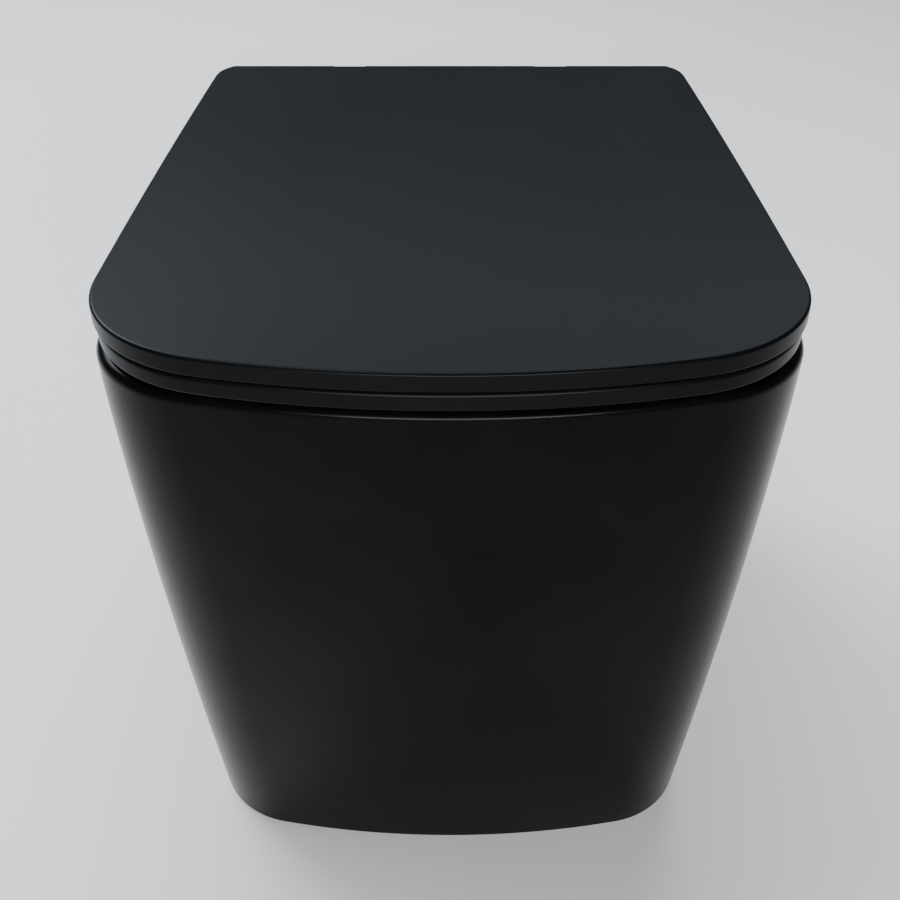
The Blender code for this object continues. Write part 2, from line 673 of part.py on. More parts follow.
def build_cartridges(seat_empty, lid_empty):
    """Seat damper left, lid damper right, and a plain bush in each opposite bore."""
    damper = material("damper_grey", (0.30, 0.31, 0.32), 0.45)
    seat_x = POST_X - POST_HALF - HINGE_GAP - 0.0002
    lid_x = POST_X + POST_HALF + HINGE_GAP + 0.0002
    bore = PIN_R + 0.0003
    parts = (("seat_damper", damper, -seat_x, 1, CARTRIDGE_LENGTH, seat_empty),
             ("seat_bush", nylon(), seat_x, -1, 0.020, seat_empty),
             ("lid_damper", damper, lid_x, 1, CARTRIDGE_LENGTH, lid_empty),
             ("lid_bush", nylon(), -lid_x, -1, 0.020, lid_empty))
    for name, mat, x, direction, length, empty in parts:
        hang_on(empty, cartridge(name, mat, x, direction, length, bore, CARTRIDGE_R - 0.0004))


# ---------------------------------------------------------------- floor fixing
def build_floor_fixing(side, sign):
    """Angle bracket on the floor inside the skirt, its screws, and the screw's cover outside."""
    inner = skirt_half_width(BRACKET_Y, SIDE_HOLE_Z) - WALL
    upright = inner - 0.0025
    base_x = (sign * 0.100, sign * upright)
    bracket = block(f"floor_bracket_{side}", (min(base_x), BRACKET_Y - 0.018, 0.0),
                    (max(base_x), BRACKET_Y + 0.018, 0.004), steel())
    leg_x = (sign * (upright - 0.004), sign * upright)
    leg = block(f"bracket_leg_{side}", (min(leg_x), BRACKET_Y - 0.018, 0.001),
                (max(leg_x), BRACKET_Y + 0.018, 0.055), cutter=True)
    boolean(bracket, leg, "UNION")
    turn = (sign * math.pi / 2, "Y")
    boss = rod(f"bracket_boss_{side}", 0.006, 0.010, cutter=True)
    place(boss, (sign * (upright - 0.012), BRACKET_Y, SIDE_HOLE_Z), turn)
    boolean(bracket, boss, "UNION")
    tapped = rod(f"bracket_tapping_{side}", 0.0033, 0.04, cutter=True)
    boolean(bracket, place(tapped, (sign * (upright - 0.03), BRACKET_Y, SIDE_HOLE_Z), turn))
    screw_x = sign * 0.120
    hole = rod(f"bracket_floor_hole_{side}", 0.0045, 0.01, cutter=True)
    boolean(bracket, place(hole, (screw_x, BRACKET_Y, -0.003)))

    washer = turned(f"floor_washer_{side}", [(0.0040, 0), (0.010, 0),
                                             (0.010, 0.0014), (0.0040, 0.0014)], steel())
    place(washer, (screw_x, BRACKET_Y, 0.004 + GAP))
    shoulder = 0.004 + GAP + 0.0014 + GAP
    screw = turned(f"floor_screw_{side}", [(0, 0.0004), (0.0036, 0.0004), (0.0036, shoulder),
                                           (0.0068, shoulder), (0.0068, shoulder + 0.004),
                                           (0.0055, shoulder + 0.0048), (0, shoulder + 0.0048)], steel())
    place(screw, (screw_x, BRACKET_Y, 0))

    wall_x = skirt_half_width(BRACKET_Y, SIDE_HOLE_Z)
    sleeve = turned(f"side_sleeve_{side}", [(0.0034, -WALL), (0.0056, -WALL), (0.0056, 0.0008),
                                            (0.0092, 0.0008), (0.0092, 0.0020), (0.0034, 0.0020)],
                    nylon())
    place(sleeve, (sign * wall_x, BRACKET_Y, SIDE_HOLE_Z), turn)
    screw = turned(f"side_screw_{side}", [(0, -0.029), (0.0028, -0.029), (0.0028, 0.0023),
                                          (0.0060, 0.0023), (0.0060, 0.0040), (0.0045, 0.0048),
                                          (0, 0.0048)], steel())
    place(screw, (sign * wall_x, BRACKET_Y, SIDE_HOLE_Z), turn)
    cap = turned(f"screw_cap_{side}", [(0.0115, 0.0008), (0.0115, 0.0050), (0.0100, 0.0066), (0, 0.0072),
                                       (0, 0.0056), (0.0088, 0.0052), (0.0097, 0.0046), (0.0097, 0.0008)],
                 black_nylon(), 32)
    place(cap, (sign * wall_x, BRACKET_Y, SIDE_HOLE_Z), turn)


# ---------------------------------------------------------------- assembly
def clear_scene():
    for obj in list(bpy.data.objects):
        bpy.data.objects.remove(obj, do_unlink=True)


def main():
    clear_scene()
    build_pan()
    build_flush_fittings()
    axis = (0, AXIS_Y, AXIS_Z)
    mount_empty = axis_empty("seat_lift_axis", axis)
    seat_empty = axis_empty("seat_hinge_axis", axis)
    lid_empty = axis_empty("lid_hinge_axis", axis)
    build_seat(seat_empty)
    build_lid(lid_empty)
    build_buffers(seat_empty, lid_empty)
    build_cartridges(seat_empty, lid_empty)
    for side, sign in SIDES.items():
        build_hinge_fixing(side, sign)
        hinge = build_hinge_block(side, sign, mount_empty)
        build_release_button(side, sign, hinge)
        build_floor_fixing(side, sign)


main()
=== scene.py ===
"""Looks of a matt black back-to-wall toilet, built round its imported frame.

Every new piece is a surface worked out with numpy: rings stacked into a loft, or a profile turned
about an axis. Pieces with openings are then cut with exact Booleans. Metres, in the frame's own
axes: +Y to the wall, +X to the right seen from the front, +Z up.
"""

import json
import logging
import math
from dataclasses import dataclass, field, replace
from enum import Enum

import bmesh
import bpy
import numpy as np
from mathutils import Matrix, Vector


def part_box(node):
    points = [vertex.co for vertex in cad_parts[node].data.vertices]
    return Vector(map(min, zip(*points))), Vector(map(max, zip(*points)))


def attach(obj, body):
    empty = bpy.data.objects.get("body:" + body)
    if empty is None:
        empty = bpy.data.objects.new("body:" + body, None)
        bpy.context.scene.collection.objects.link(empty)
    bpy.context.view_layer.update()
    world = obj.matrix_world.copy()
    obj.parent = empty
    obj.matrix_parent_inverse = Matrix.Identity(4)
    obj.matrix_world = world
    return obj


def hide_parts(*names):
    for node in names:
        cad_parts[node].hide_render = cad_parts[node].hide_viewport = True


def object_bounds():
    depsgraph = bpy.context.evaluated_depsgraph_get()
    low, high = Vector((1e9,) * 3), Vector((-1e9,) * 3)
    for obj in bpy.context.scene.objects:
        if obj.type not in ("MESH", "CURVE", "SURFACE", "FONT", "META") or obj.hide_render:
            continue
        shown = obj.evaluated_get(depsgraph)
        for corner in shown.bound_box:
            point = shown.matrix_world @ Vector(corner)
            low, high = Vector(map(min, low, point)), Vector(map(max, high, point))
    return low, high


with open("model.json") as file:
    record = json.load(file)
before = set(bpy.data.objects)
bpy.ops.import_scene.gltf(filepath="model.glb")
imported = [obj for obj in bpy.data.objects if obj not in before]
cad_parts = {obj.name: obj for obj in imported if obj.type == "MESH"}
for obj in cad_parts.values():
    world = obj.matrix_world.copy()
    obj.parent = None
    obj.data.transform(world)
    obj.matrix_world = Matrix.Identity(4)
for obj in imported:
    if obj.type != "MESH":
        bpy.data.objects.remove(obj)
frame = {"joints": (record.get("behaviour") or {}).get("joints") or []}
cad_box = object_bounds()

log = logging.getLogger("toilet")

GAP = 0.0003                  # clearance between neighbouring pieces
MM = 0.001
FRONT_BOW = 0.50              # radius of the gently bowed fronts of rim, seat and lid
SIDE_BOW = 12.0               # radius of the nearly straight sides
SHARP_ANGLE = math.radians(32)
INLET_Z = 0.338               # height of the flush inlet's axis
BOWL_POWER = 2.4              # superellipse power of the bowl's sections
AXIS = np.array(next(joint["pos_m"] for joint in frame["joints"] if joint["name"] == "seat_hinge"), float)


class Cut(Enum):
    """How shapes are combined."""

    TAKE_AWAY = "DIFFERENCE"
    JOIN = "UNION"


class Side(Enum):
    """Left and right, as seen from the front, with the sign of X."""

    LEFT = ("left", -1)
    RIGHT = ("right", 1)

    @property
    def label(self) -> str:
        """Word used in node names."""
        return self.value[0]

    @property
    def sign(self) -> int:
        """Sign of X on this side."""
        return self.value[1]


# ---------------------------------------------------------------- colour and nodes
def linear(code: str) -> tuple[float, float, float, float]:
    """Turns an sRGB hex colour into linear RGBA.

    Args:
        code: colour such as "#1c1e20".

    Returns:
        Linear red, green, blue and alpha.
    """
    srgb = np.array([int(code[i:i + 2], 16) for i in (1, 3, 5)]) / 255
    rgb = np.where(srgb <= 0.04045, srgb / 12.92, ((srgb + 0.055) / 1.055) ** 2.4)
    return (*(float(v) for v in rgb), 1.0)


def per_size(size_mm: float) -> float:
    """Texture scale, in cells per metre, at which one cell is size_mm wide."""
    return 1000.0 / size_mm


def set_inputs(node: bpy.types.Node, values: dict | None = None, links: dict | None = None) -> None:
    """Sets some of a node's inputs to constants and links others.

    Args:
        node: the node.
        values: socket name or number to its constant.
        links: socket name or number to the output that feeds it.
    """
    for socket, value in (values or {}).items():
        node.inputs[socket].default_value = value
    for socket, source in (links or {}).items():
        node.id_data.links.new(source, node.inputs[socket])


def add_node(tree: bpy.types.NodeTree, kind: str, properties: dict | None = None, values: dict | None = None,
             links: dict | None = None, stops: tuple = ()) -> bpy.types.Node:
    """Adds one node with its settings and its links.

    Args:
        tree: node tree that gets the node.
        kind: Blender's name for the node type.
        properties: attributes of the node.
        values: socket name or number to its constant.
        links: socket name or number to the output that feeds it.
        stops: position and colour of a colour ramp's two stops.

    Returns:
        The new node.
    """
    node = tree.nodes.new(kind)
    for name, value in (properties or {}).items():
        setattr(node, name, value)
    for n, (position, colour) in enumerate(stops):
        node.color_ramp.elements[n].position = position
        node.color_ramp.elements[n].color = colour
    set_inputs(node, values, links)
    return node


def blank_material(name: str) -> tuple[bpy.types.Material, bpy.types.NodeTree, bpy.types.Node,
                                       bpy.types.NodeSocket]:
    """Starts a material with a Principled shader and object coordinates.

    Args:
        name: the material's name.

    Returns:
        The material, its node tree, its shader and the output that holds the coordinates.
    """
    mat = bpy.data.materials.new(name)
    mat.use_nodes = True
    place = add_node(mat.node_tree, "ShaderNodeTexCoord").outputs["Object"]
    return mat, mat.node_tree, mat.node_tree.nodes["Principled BSDF"], place


def dress(shader: bpy.types.Node, drive: bpy.types.NodeSocket, tones: tuple, gloss: tuple[float, float],
          relief: tuple, values: dict) -> None:
    """Lets one noise set a shader's colour and gloss, and gives it a relief.

    Args:
        shader: the material's shader.
        drive: noise, 0 to 1, that colour and gloss follow.
        tones: position and hex colour at both ends of the colour change.
        gloss: roughness where the noise is 0 and where it is 1.
        relief: height, strength and depth in mm of each bump, the coarsest first.
        values: constants for the shader's other inputs.
    """
    tree, normal = shader.id_data, {}
    tone = add_node(tree, "ShaderNodeValToRGB", links={"Fac": drive},
                    stops=[(position, linear(code)) for position, code in tones])
    rough = add_node(tree, "ShaderNodeMapRange", values={"To Min": gloss[0], "To Max": gloss[1]},
                     links={"Value": drive})
    for height, strength, depth_mm in relief:
        bump = add_node(tree, "ShaderNodeBump", values={"Strength": strength, "Distance": depth_mm * MM},
                        links={"Height": height, **normal})
        normal = {"Normal": bump.outputs["Normal"]}
    set_inputs(shader, values, {"Base Color": tone.outputs["Color"], "Roughness": rough.outputs["Result"], **normal})


# ---------------------------------------------------------------- finishes
@dataclass(frozen=True)
class MattBlackGlaze:
    """Matt black glaze on fired vitreous china, sprayed on and fired.

    It gives the eye a deep warm black with a broad soft sheen, a very fine stipple where the
    sprayed glaze didn't level, and slow ripples left by the plaster mould.
    """

    name: str = "matt_black_glaze_on_vitreous_china"
    deep: str = "#050404"
    thin: str = "#0c0a09"         # where the glaze lies thinner
    roughness: tuple[float, float] = (0.20, 0.25)
    ior: float = 1.50
    cloud_mm: float = 70.0
    stipple_mm: float = 1.6       # real stipple is about 0.6 mm; drawn coarser so that it shows
    ripple_mm: float = 45.0
    specular: float = 0.05        # far under the usual 0.5: it keeps the black deep over a pale floor

    def material(self) -> bpy.types.Material:
        """Builds the glaze."""
        mat, tree, shader, place = blank_material(self.name)
        noises = ((self.cloud_mm, 5.0, 0.55), (self.stipple_mm, 2.0, 0.5), (self.ripple_mm, 1.0, 0.5))
        cloud, stipple, ripple = (
            add_node(tree, "ShaderNodeTexNoise", links={"Vector": place},
                     values={"Scale": per_size(size), "Detail": detail, "Roughness": rough}).outputs["Fac"]
            for size, detail, rough in noises)
        dress(shader, cloud, ((0.30, self.deep), (0.72, self.thin)), self.roughness,
              ((ripple, 0.30, 0.25), (stipple, 0.22, 0.04)), {"IOR": self.ior, "Specular IOR Level": self.specular})
        return mat


@dataclass(frozen=True)
class RawFiredClay:
    """Unglazed vitreous china inside the skirt, with black overspray along its open edges.

    It gives the eye a dry off-white with faint casting marks, turning to speckled black near the
    wall edge and the floor edge.
    """

    name: str = "raw_fired_clay_with_overspray"
    clay: str = "#b9b2a4"
    shade: str = "#9d9688"
    spray: str = "#12100f"
    back_y: float = 0.265
    spray_reach: float = 0.060
    fleck_mm: float = 3.0
    cast_mm: float = 30.0
    roughness: float = 0.85
    ior: float = 1.50

    def material(self) -> bpy.types.Material:
        """Builds the clay."""
        mat, tree, shader, place = blank_material(self.name)
        axes = add_node(tree, "ShaderNodeSeparateXYZ", links={"Vector": place})
        cast, fleck = (
            add_node(tree, "ShaderNodeTexNoise", links={"Vector": place},
                     values={"Scale": per_size(size), "Detail": detail}).outputs["Fac"]
            for size, detail in ((self.cast_mm, 6.0), (self.fleck_mm, 4.0)))
        clay = add_node(tree, "ShaderNodeMix", properties={"data_type": "RGBA"},
                        values={6: linear(self.clay), 7: linear(self.shade)}, links={0: cast})
        edges = (("Y", self.back_y - self.spray_reach, self.back_y), ("Z", self.spray_reach, 0.0))
        wall_edge, floor_edge = (
            add_node(tree, "ShaderNodeMapRange", values={"From Min": start, "From Max": end},
                     links={"Value": axes.outputs[axis]}).outputs["Result"] for axis, start, end in edges)
        edge = add_node(tree, "ShaderNodeMath", properties={"operation": "MAXIMUM"},
                        links={0: wall_edge, 1: floor_edge})
        broken = add_node(tree, "ShaderNodeMath", properties={"operation": "ADD"},
                          links={0: edge.outputs["Value"], 1: fleck})
        cover = add_node(tree, "ShaderNodeValToRGB", links={"Fac": broken.outputs["Value"]},
                         stops=((0.62, linear("#000000")), (0.95, linear("#ffffff"))))
        tone = add_node(tree, "ShaderNodeMix", properties={"data_type": "RGBA"}, values={7: linear(self.spray)},
                        links={0: cover.outputs["Color"], 6: clay.outputs[2]})
        rough = add_node(tree, "ShaderNodeBump", values={"Strength": 0.4, "Distance": 0.2 * MM},
                         links={"Height": fleck})
        set_inputs(shader, {"Roughness": self.roughness, "IOR": self.ior},
                   {"Base Color": tone.outputs[2], "Normal": rough.outputs["Normal"]})
        return mat


@dataclass(frozen=True)
class BlackDuroplast:
    """Urea moulding compound pressed hot in a polished tool, then given a satin black surface.

    It gives the eye a cool near-black with a wide even sheen, faint wiping marks that only change
    the gloss, and an almost flat surface with a trace of mould texture.
    """

    name: str = "satin_black_duroplast"
    body: str = "#050608"
    bloom: str = "#0a0c0e"
    roughness: tuple[float, float] = (0.27, 0.32)
    ior: float = 1.55
    wipe_mm: float = 120.0
    texture_mm: float = 1.2       # tool texture is finer than a render shows; drawn coarser
    specular: float = 0.05        # as low as the glaze's, for the same reason

    def material(self) -> bpy.types.Material:
        """Builds the moulded surface."""
        mat, tree, shader, place = blank_material(self.name)
        stretch = add_node(tree, "ShaderNodeMapping", values={"Scale": (1.0, 0.45, 1.0), "Rotation": (0, 0, 0.5)},
                           links={"Vector": place})
        wipe = add_node(tree, "ShaderNodeTexNoise", links={"Vector": stretch.outputs["Vector"]},
                        values={"Scale": per_size(self.wipe_mm), "Detail": 4.0, "Distortion": 0.6}).outputs["Fac"]
        texture = add_node(tree, "ShaderNodeTexNoise", links={"Vector": place},
                           values={"Scale": per_size(self.texture_mm), "Detail": 2.0}).outputs["Fac"]
        dress(shader, wipe, ((0.30, self.body), (0.75, self.bloom)), self.roughness, ((texture, 0.12, 0.02),),
              {"IOR": self.ior, "Specular IOR Level": self.specular})
        return mat


@dataclass(frozen=True)
class Moulding:
    """Injection-moulded nylon, acetal or rubber: one colour with moulding clouds and a fine grain."""

    name: str
    body: str
    cloud: str
    roughness: float
    ior: float = 1.50
    specular: float = 0.5
    cloud_mm: float = 9.0
    grain_mm: float = 0.5
    grain_depth_mm: float = 0.02

    def material(self) -> bpy.types.Material:
        """Builds the moulding's surface."""
        mat, tree, shader, place = blank_material(self.name)
        cloud, grain = (
            add_node(tree, "ShaderNodeTexNoise", links={"Vector": place},
                     values={"Scale": per_size(size), "Detail": detail}).outputs["Fac"]
            for size, detail in ((self.cloud_mm, 3.0), (self.grain_mm, 2.0)))
        dress(shader, cloud, ((0.0, self.body), (1.0, self.cloud)), (self.roughness - 0.05, self.roughness + 0.05),
              ((grain, 0.4, self.grain_depth_mm),), {"IOR": self.ior, "Specular IOR Level": self.specular})
        return mat


@dataclass(frozen=True)
class WorkedMetal:
    """Metal with fine tool lines: brushed stainless steel, turned brass or a coated zinc casting.

    The lines are a noise squeezed across the brushing direction; they change the gloss more than
    the colour.
    """

    name: str
    body: str
    line: str
    roughness: float
    metallic: float = 1.0
    line_mm: float = 0.35
    stretch: tuple[float, float, float] = (0.06, 1.0, 1.0)

    def material(self) -> bpy.types.Material:
        """Builds the metal."""
        mat, tree, shader, place = blank_material(self.name)
        squeeze = add_node(tree, "ShaderNodeMapping", values={"Scale": self.stretch}, links={"Vector": place})
        lines = add_node(tree, "ShaderNodeTexNoise", links={"Vector": squeeze.outputs["Vector"]},
                         values={"Scale": per_size(self.line_mm), "Detail": 3.0}).outputs["Fac"]
        dress(shader, lines, ((0.0, self.body), (1.0, self.line)), (self.roughness - 0.08, self.roughness + 0.10),
              ((lines, 0.25, 0.01),), {"Metallic": self.metallic})
        return mat


@dataclass(frozen=True)
class PaleFloor:
    """Plain pale studio floor, matt, with hardly any mottle."""

    name: str = "pale_studio_floor"
    pale: str = "#f1f1f0"
    mottle: str = "#ebebea"
    mottle_mm: float = 900.0
    roughness: float = 0.9
    specular: float = 0.1

    def material(self) -> bpy.types.Material:
        """Builds the floor's surface."""
        mat, tree, shader, place = blank_material(self.name)
        cloud = add_node(tree, "ShaderNodeTexNoise", values={"Scale": per_size(self.mottle_mm)},
                         links={"Vector": place})
        dress(shader, cloud.outputs["Fac"], ((0.0, self.pale), (1.0, self.mottle)), (self.roughness,) * 2, (),
              {"Specular IOR Level": self.specular})
        return mat


@dataclass(frozen=True)
class Finishes:
    """One material for each real finish on the toilet, made once."""

    glaze: bpy.types.Material
    clay: bpy.types.Material
    duroplast: bpy.types.Material
    rubber: bpy.types.Material
    black_nylon: bpy.types.Material
    white_nylon: bpy.types.Material
    acetal: bpy.types.Material
    stainless: bpy.types.Material
    zinc: bpy.types.Material
    brass: bpy.types.Material

    @classmethod
    def make(cls) -> "Finishes":
        """Builds every material.

        Returns:
            The set of materials.
        """
        return cls(
            glaze=MattBlackGlaze().material(),
            clay=RawFiredClay(back_y=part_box("pan")[1].y).material(),
            duroplast=BlackDuroplast().material(),
            rubber=Moulding("moulded_epdm_rubber", "#151516", "#1c1c1d", 0.72, specular=0.15,
                            grain_depth_mm=0.04).material(),
            black_nylon=Moulding("black_moulded_nylon", "#080708", "#0e0c0c", 0.45, specular=0.07).material(),
            white_nylon=Moulding("natural_moulded_nylon", "#dcd9cf", "#cfcbbf", 0.45).material(),
            acetal=Moulding("grey_moulded_acetal", "#7f8286", "#74777b", 0.38).material(),
            stainless=WorkedMetal("brushed_stainless_steel", "#c9c8c5", "#b1b0ad", 0.30).material(),
            zinc=WorkedMetal("black_coated_zinc_casting", "#141415", "#1c1c1e", 0.42, metallic=0.3,
                             line_mm=1.5, stretch=(1.0, 1.0, 1.0)).material(),
            brass=WorkedMetal("turned_brass", "#c9a659", "#b18f45", 0.30, stretch=(1.0, 1.0, 0.05)).material(),
        )


# ---------------------------------------------------------------- surfaces
def arc(centre: tuple[float, float], radius: float, start: float, end: float, steps: int,
        closed: bool = True) -> np.ndarray:
    """Points on a circle: centre + radius (cos a, sin a), a running evenly from start to end in radians.

    Args:
        centre: the circle's centre.
        radius: its radius.
        start: first angle.
        end: last angle.
        steps: number of stretches.
        closed: whether the end point is included.

    Returns:
        Array of (steps + 1 or steps, 2).
    """
    a = np.linspace(start, end, steps + 1)
    if not closed:
        a = a[:-1]
    return np.stack([centre[0] + radius * np.cos(a), centre[1] + radius * np.sin(a)], axis=1)


def rounded(points: list[tuple[float, float]], radii: list[float], closed: bool = False,
            steps: int = 4) -> np.ndarray:
    """Rounds the corners of a polyline with arcs tangent to both neighbours.

    A corner P with unit directions a and b to its neighbours and half angle h is replaced by the
    arc of radius r about P + (a + b) / |a + b| * r / sin h.

    Args:
        points: the corners.
        radii: radius at each corner, 0 for a sharp one.
        closed: whether the last corner joins the first.
        steps: stretches in each arc.

    Returns:
        Array of (n, 2) points.
    """
    corners = np.array(points, float)
    out = []
    count = len(corners)
    for i, (corner, radius) in enumerate(zip(corners, radii)):
        if radius <= 0 or (not closed and i in (0, count - 1)):
            out.append(corner[None])
            continue
        a = corners[i - 1] - corner
        b = corners[(i + 1) % count] - corner
        len_a, len_b = np.linalg.norm(a), np.linalg.norm(b)
        a, b = a / len_a, b / len_b
        half = math.acos(float(np.clip(a @ b, -1, 1))) / 2
        reach = min(radius / math.tan(half), 0.49 * len_a, 0.49 * len_b)
        radius = reach * math.tan(half)
        centre = corner + (a + b) / np.linalg.norm(a + b) * radius / math.sin(half)
        start, end = corner + a * reach - centre, corner + b * reach - centre
        first = math.atan2(start[1], start[0])
        sweep = (math.atan2(end[1], end[0]) - first + math.pi) % math.tau - math.pi
        out.append(arc(tuple(centre), radius, first, first + sweep, steps))
    return np.concatenate(out)


@dataclass
class Outline:
    """Bowed front, round front corners, sides falling away on a long arc, and a straight back.

    It runs anticlockwise seen from above, from the middle of the front, so point i and point
    n - i are each other's mirror image.
    """

    half: float
    front: float
    back: float
    corner: float
    back_corner: float
    bow: float = FRONT_BOW
    steps: tuple[int, int, int, int] = (18, 20, 14, 6)

    def inset(self, distance: float, back: float | None = None) -> "Outline":
        """The same outline moved inwards.

        Args:
            distance: how far inwards.
            back: how far the back moves, when different.

        Returns:
            The moved outline.
        """
        behind = distance if back is None else back
        return replace(self, half=self.half - distance, front=self.front + distance, back=self.back - behind,
                       corner=self.corner - distance, back_corner=max(self.back_corner - behind, 0.0005))

    def points(self) -> np.ndarray:
        """Works the outline out.

        Returns:
            Array of (n, 2) points.
        """
        bow_steps, corner_steps, side_steps, back_steps = self.steps
        bow_y = self.front + self.bow
        corner_x = self.half - self.corner
        corner_y = bow_y - math.sqrt((self.bow - self.corner) ** 2 - corner_x ** 2)
        meet = math.atan2(corner_y - bow_y, corner_x)
        bow = arc((0, bow_y), self.bow, -math.pi / 2, meet, bow_steps, closed=False)
        corner = arc((corner_x, corner_y), self.corner, meet, 0, corner_steps, closed=False)
        side_end = self.back - self.back_corner
        y = np.linspace(corner_y, side_end, side_steps + 1)
        x = self.half - (y - corner_y) ** 2 / (2 * SIDE_BOW)
        side = np.stack([x[:-1], y[:-1]], axis=1)
        back = arc((x[-1] - self.back_corner, side_end), self.back_corner, 0, math.pi / 2, back_steps)
        right = np.concatenate([bow, corner, side, back])
        return np.concatenate([right, right[:0:-1] * (-1, 1)])


def oval(half: float, front: float, back: float, power: float, steps: int = 96) -> np.ndarray:
    """Superellipse |x / half|^power + |y / reach|^power = 1 between a front and a back point.

    Args:
        half: half width.
        front: Y of its front.
        back: Y of its back.
        power: 2 for an ellipse, more for a squarer shape.
        steps: number of points, even.

    Returns:
        Array of (steps, 2) points, anticlockwise from the middle of the front.
    """
    a = -math.pi / 2 + math.tau * np.arange(steps) / steps
    c, s = np.cos(a), np.sin(a)
    x = half * np.sign(c) * np.abs(c) ** (2 / power)
    y = (front + back) / 2 + (back - front) / 2 * np.sign(s) * np.abs(s) ** (2 / power)
    x[0] = x[steps // 2] = 0.0
    return np.stack([x, y], axis=1)


def quarter(radius: float, count: int) -> tuple[np.ndarray, np.ndarray]:
    """Quarter round: radius times (1 - cos a, 1 - sin a), a running from 0 to 90 degrees."""
    a = np.linspace(0, math.pi / 2, count)
    return radius * (1 - np.cos(a)), radius * (1 - np.sin(a))


def at_height(points: np.ndarray, z: float) -> np.ndarray:
    """Lifts (n, 2) points to (n, 3) at a height."""
    return np.column_stack([points, np.full(len(points), z)])


def mirror_cap(first: int, count: int) -> list[tuple[int, ...]]:
    """Faces across a ring whose point i mirrors point count - i: rungs from side to side.

    Args:
        first: index of the ring's first vertex.
        count: points in the ring.

    Returns:
        Faces as tuples of vertex indices.
    """
    last = (count - 1) // 2
    faces = [(first, first + 1, first + count - 1)]
    rungs = np.arange(1, last)
    quads = np.stack([rungs, rungs + 1, count - rungs - 1, count - rungs], axis=1) + first
    faces += [tuple(q) for q in quads.tolist()]
    if count % 2 == 0:
        faces.append((first + last, first + last + 1, first + last + 2))
    return faces


def grid_object(name: str, grid: np.ndarray, material: bpy.types.Material, mirrored: bool = False,
                joined_ends: bool = False) -> bpy.types.Object:
    """Makes a closed tube of rings into an object.

    Each ring is joined to the next by quads. The ends are closed by caps, or joined to each other.

    Args:
        name: the piece's name.
        grid: (rings, points, 3) array.
        material: its finish.
        mirrored: caps run from side to side instead of being one face.
        joined_ends: the last ring joins the first, as on a hollow turned ring.

    Returns:
        The object, with faces outwards.
    """
    rings, count = grid.shape[:2]
    i = np.arange(rings if joined_ends else rings - 1)[:, None]
    j = np.arange(count)[None, :]
    k, up = (j + 1) % count, (i + 1) % rings
    quads = np.stack([i * count + j, i * count + k, up * count + k, up * count + j], axis=2).reshape(-1, 4)
    faces = [tuple(q) for q in quads.tolist()]
    if not joined_ends:
        top = (rings - 1) * count
        if mirrored:
            faces += [face[::-1] for face in mirror_cap(0, count)] + mirror_cap(top, count)
        else:
            faces += [tuple(range(count))[::-1], tuple(range(top, top + count))]
    mesh = bpy.data.meshes.new(name)
    mesh.from_pydata(grid.reshape(-1, 3).tolist(), [], faces)
    mesh.materials.append(material)
    return outward(bpy.data.objects.new(name, mesh))


def outward(obj: bpy.types.Object) -> bpy.types.Object:
    """Links an object, merges doubled points, turns its faces outwards and smooths it.

    Args:
        obj: object whose mesh is one closed shell.

    Returns:
        The same object.
    """
    if obj.name not in bpy.context.scene.collection.objects:
        bpy.context.scene.collection.objects.link(obj)
    work = bmesh.new()
    work.from_mesh(obj.data)
    bmesh.ops.remove_doubles(work, verts=work.verts, dist=1e-6)
    bmesh.ops.dissolve_degenerate(work, edges=work.edges, dist=1e-6)
    bmesh.ops.recalc_face_normals(work, faces=work.faces)
    if work.calc_volume(signed=True) < 0:
        bmesh.ops.reverse_faces(work, faces=work.faces)
    work.to_mesh(obj.data)
    work.free()
    obj.data.shade_smooth()
    obj.data.set_sharp_from_angle(angle=SHARP_ANGLE)
    return obj


def turned(name: str, profile: np.ndarray | list, material: bpy.types.Material, place: Matrix,
           segments: int = 64) -> bpy.types.Object:
    """Turns a (radius, height) profile about its axis: (r cos a, r sin a, h) for a round the circle.

    Args:
        name: the piece's name.
        profile: points; ends on the axis make a solid, otherwise the profile closes on itself.
        material: its finish.
        place: where the axis goes.
        segments: points round the circle.

    Returns:
        The object.
    """
    a = math.tau * np.arange(segments) / segments
    radius, height = np.array(profile, float).T
    solid = radius[0] < 1e-7 and radius[-1] < 1e-7
    radius = np.maximum(radius, 1e-5)
    grid = np.stack([np.outer(radius, np.cos(a)), np.outer(radius, np.sin(a)),
                     np.repeat(height[:, None], segments, axis=1)], axis=2)
    grid = grid @ np.array(place.to_3x3()).T + np.array(place.translation)
    return grid_object(name, grid, material, joined_ends=not solid)


def rod(name: str, radius: float, length: float, material: bpy.types.Material, place: Matrix,
        segments: int = 48) -> bpy.types.Object:
    """Plain round bar starting at its place; most of them are drills."""
    return turned(name, [(0, 0), (radius, 0), (radius, length), (0, length)], material, place, segments)


def extruded(name: str, outline: np.ndarray, low: float, high: float,
             material: bpy.types.Material) -> bpy.types.Object:
    """Carries a closed (y, z) outline along X, from low to high."""
    grid = np.stack([np.column_stack([np.full(len(outline), x), outline]) for x in (low, high)])
    return grid_object(name, grid, material)


def brick(name: str, low: tuple[float, float, float], high: tuple[float, float, float],
          material: bpy.types.Material) -> bpy.types.Object:
    """Box between two corners."""
    outline = np.array([(low[1], low[2]), (high[1], low[2]), (high[1], high[2]), (low[1], high[2])])
    return extruded(name, outline, low[0], high[0], material)


def ease_edges(obj: bpy.types.Object, width: float) -> None:
    """Adds a small bevel on the sharp edges of an object.

    Args:
        obj: the piece.
        width: width of the bevel.
    """
    bevel = obj.modifiers.new("eased_edges", "BEVEL")
    bevel.width = width
    bevel.segments = 2
    bevel.limit_method = "ANGLE"
    bevel.angle_limit = math.radians(40)
    bevel.harden_normals = True


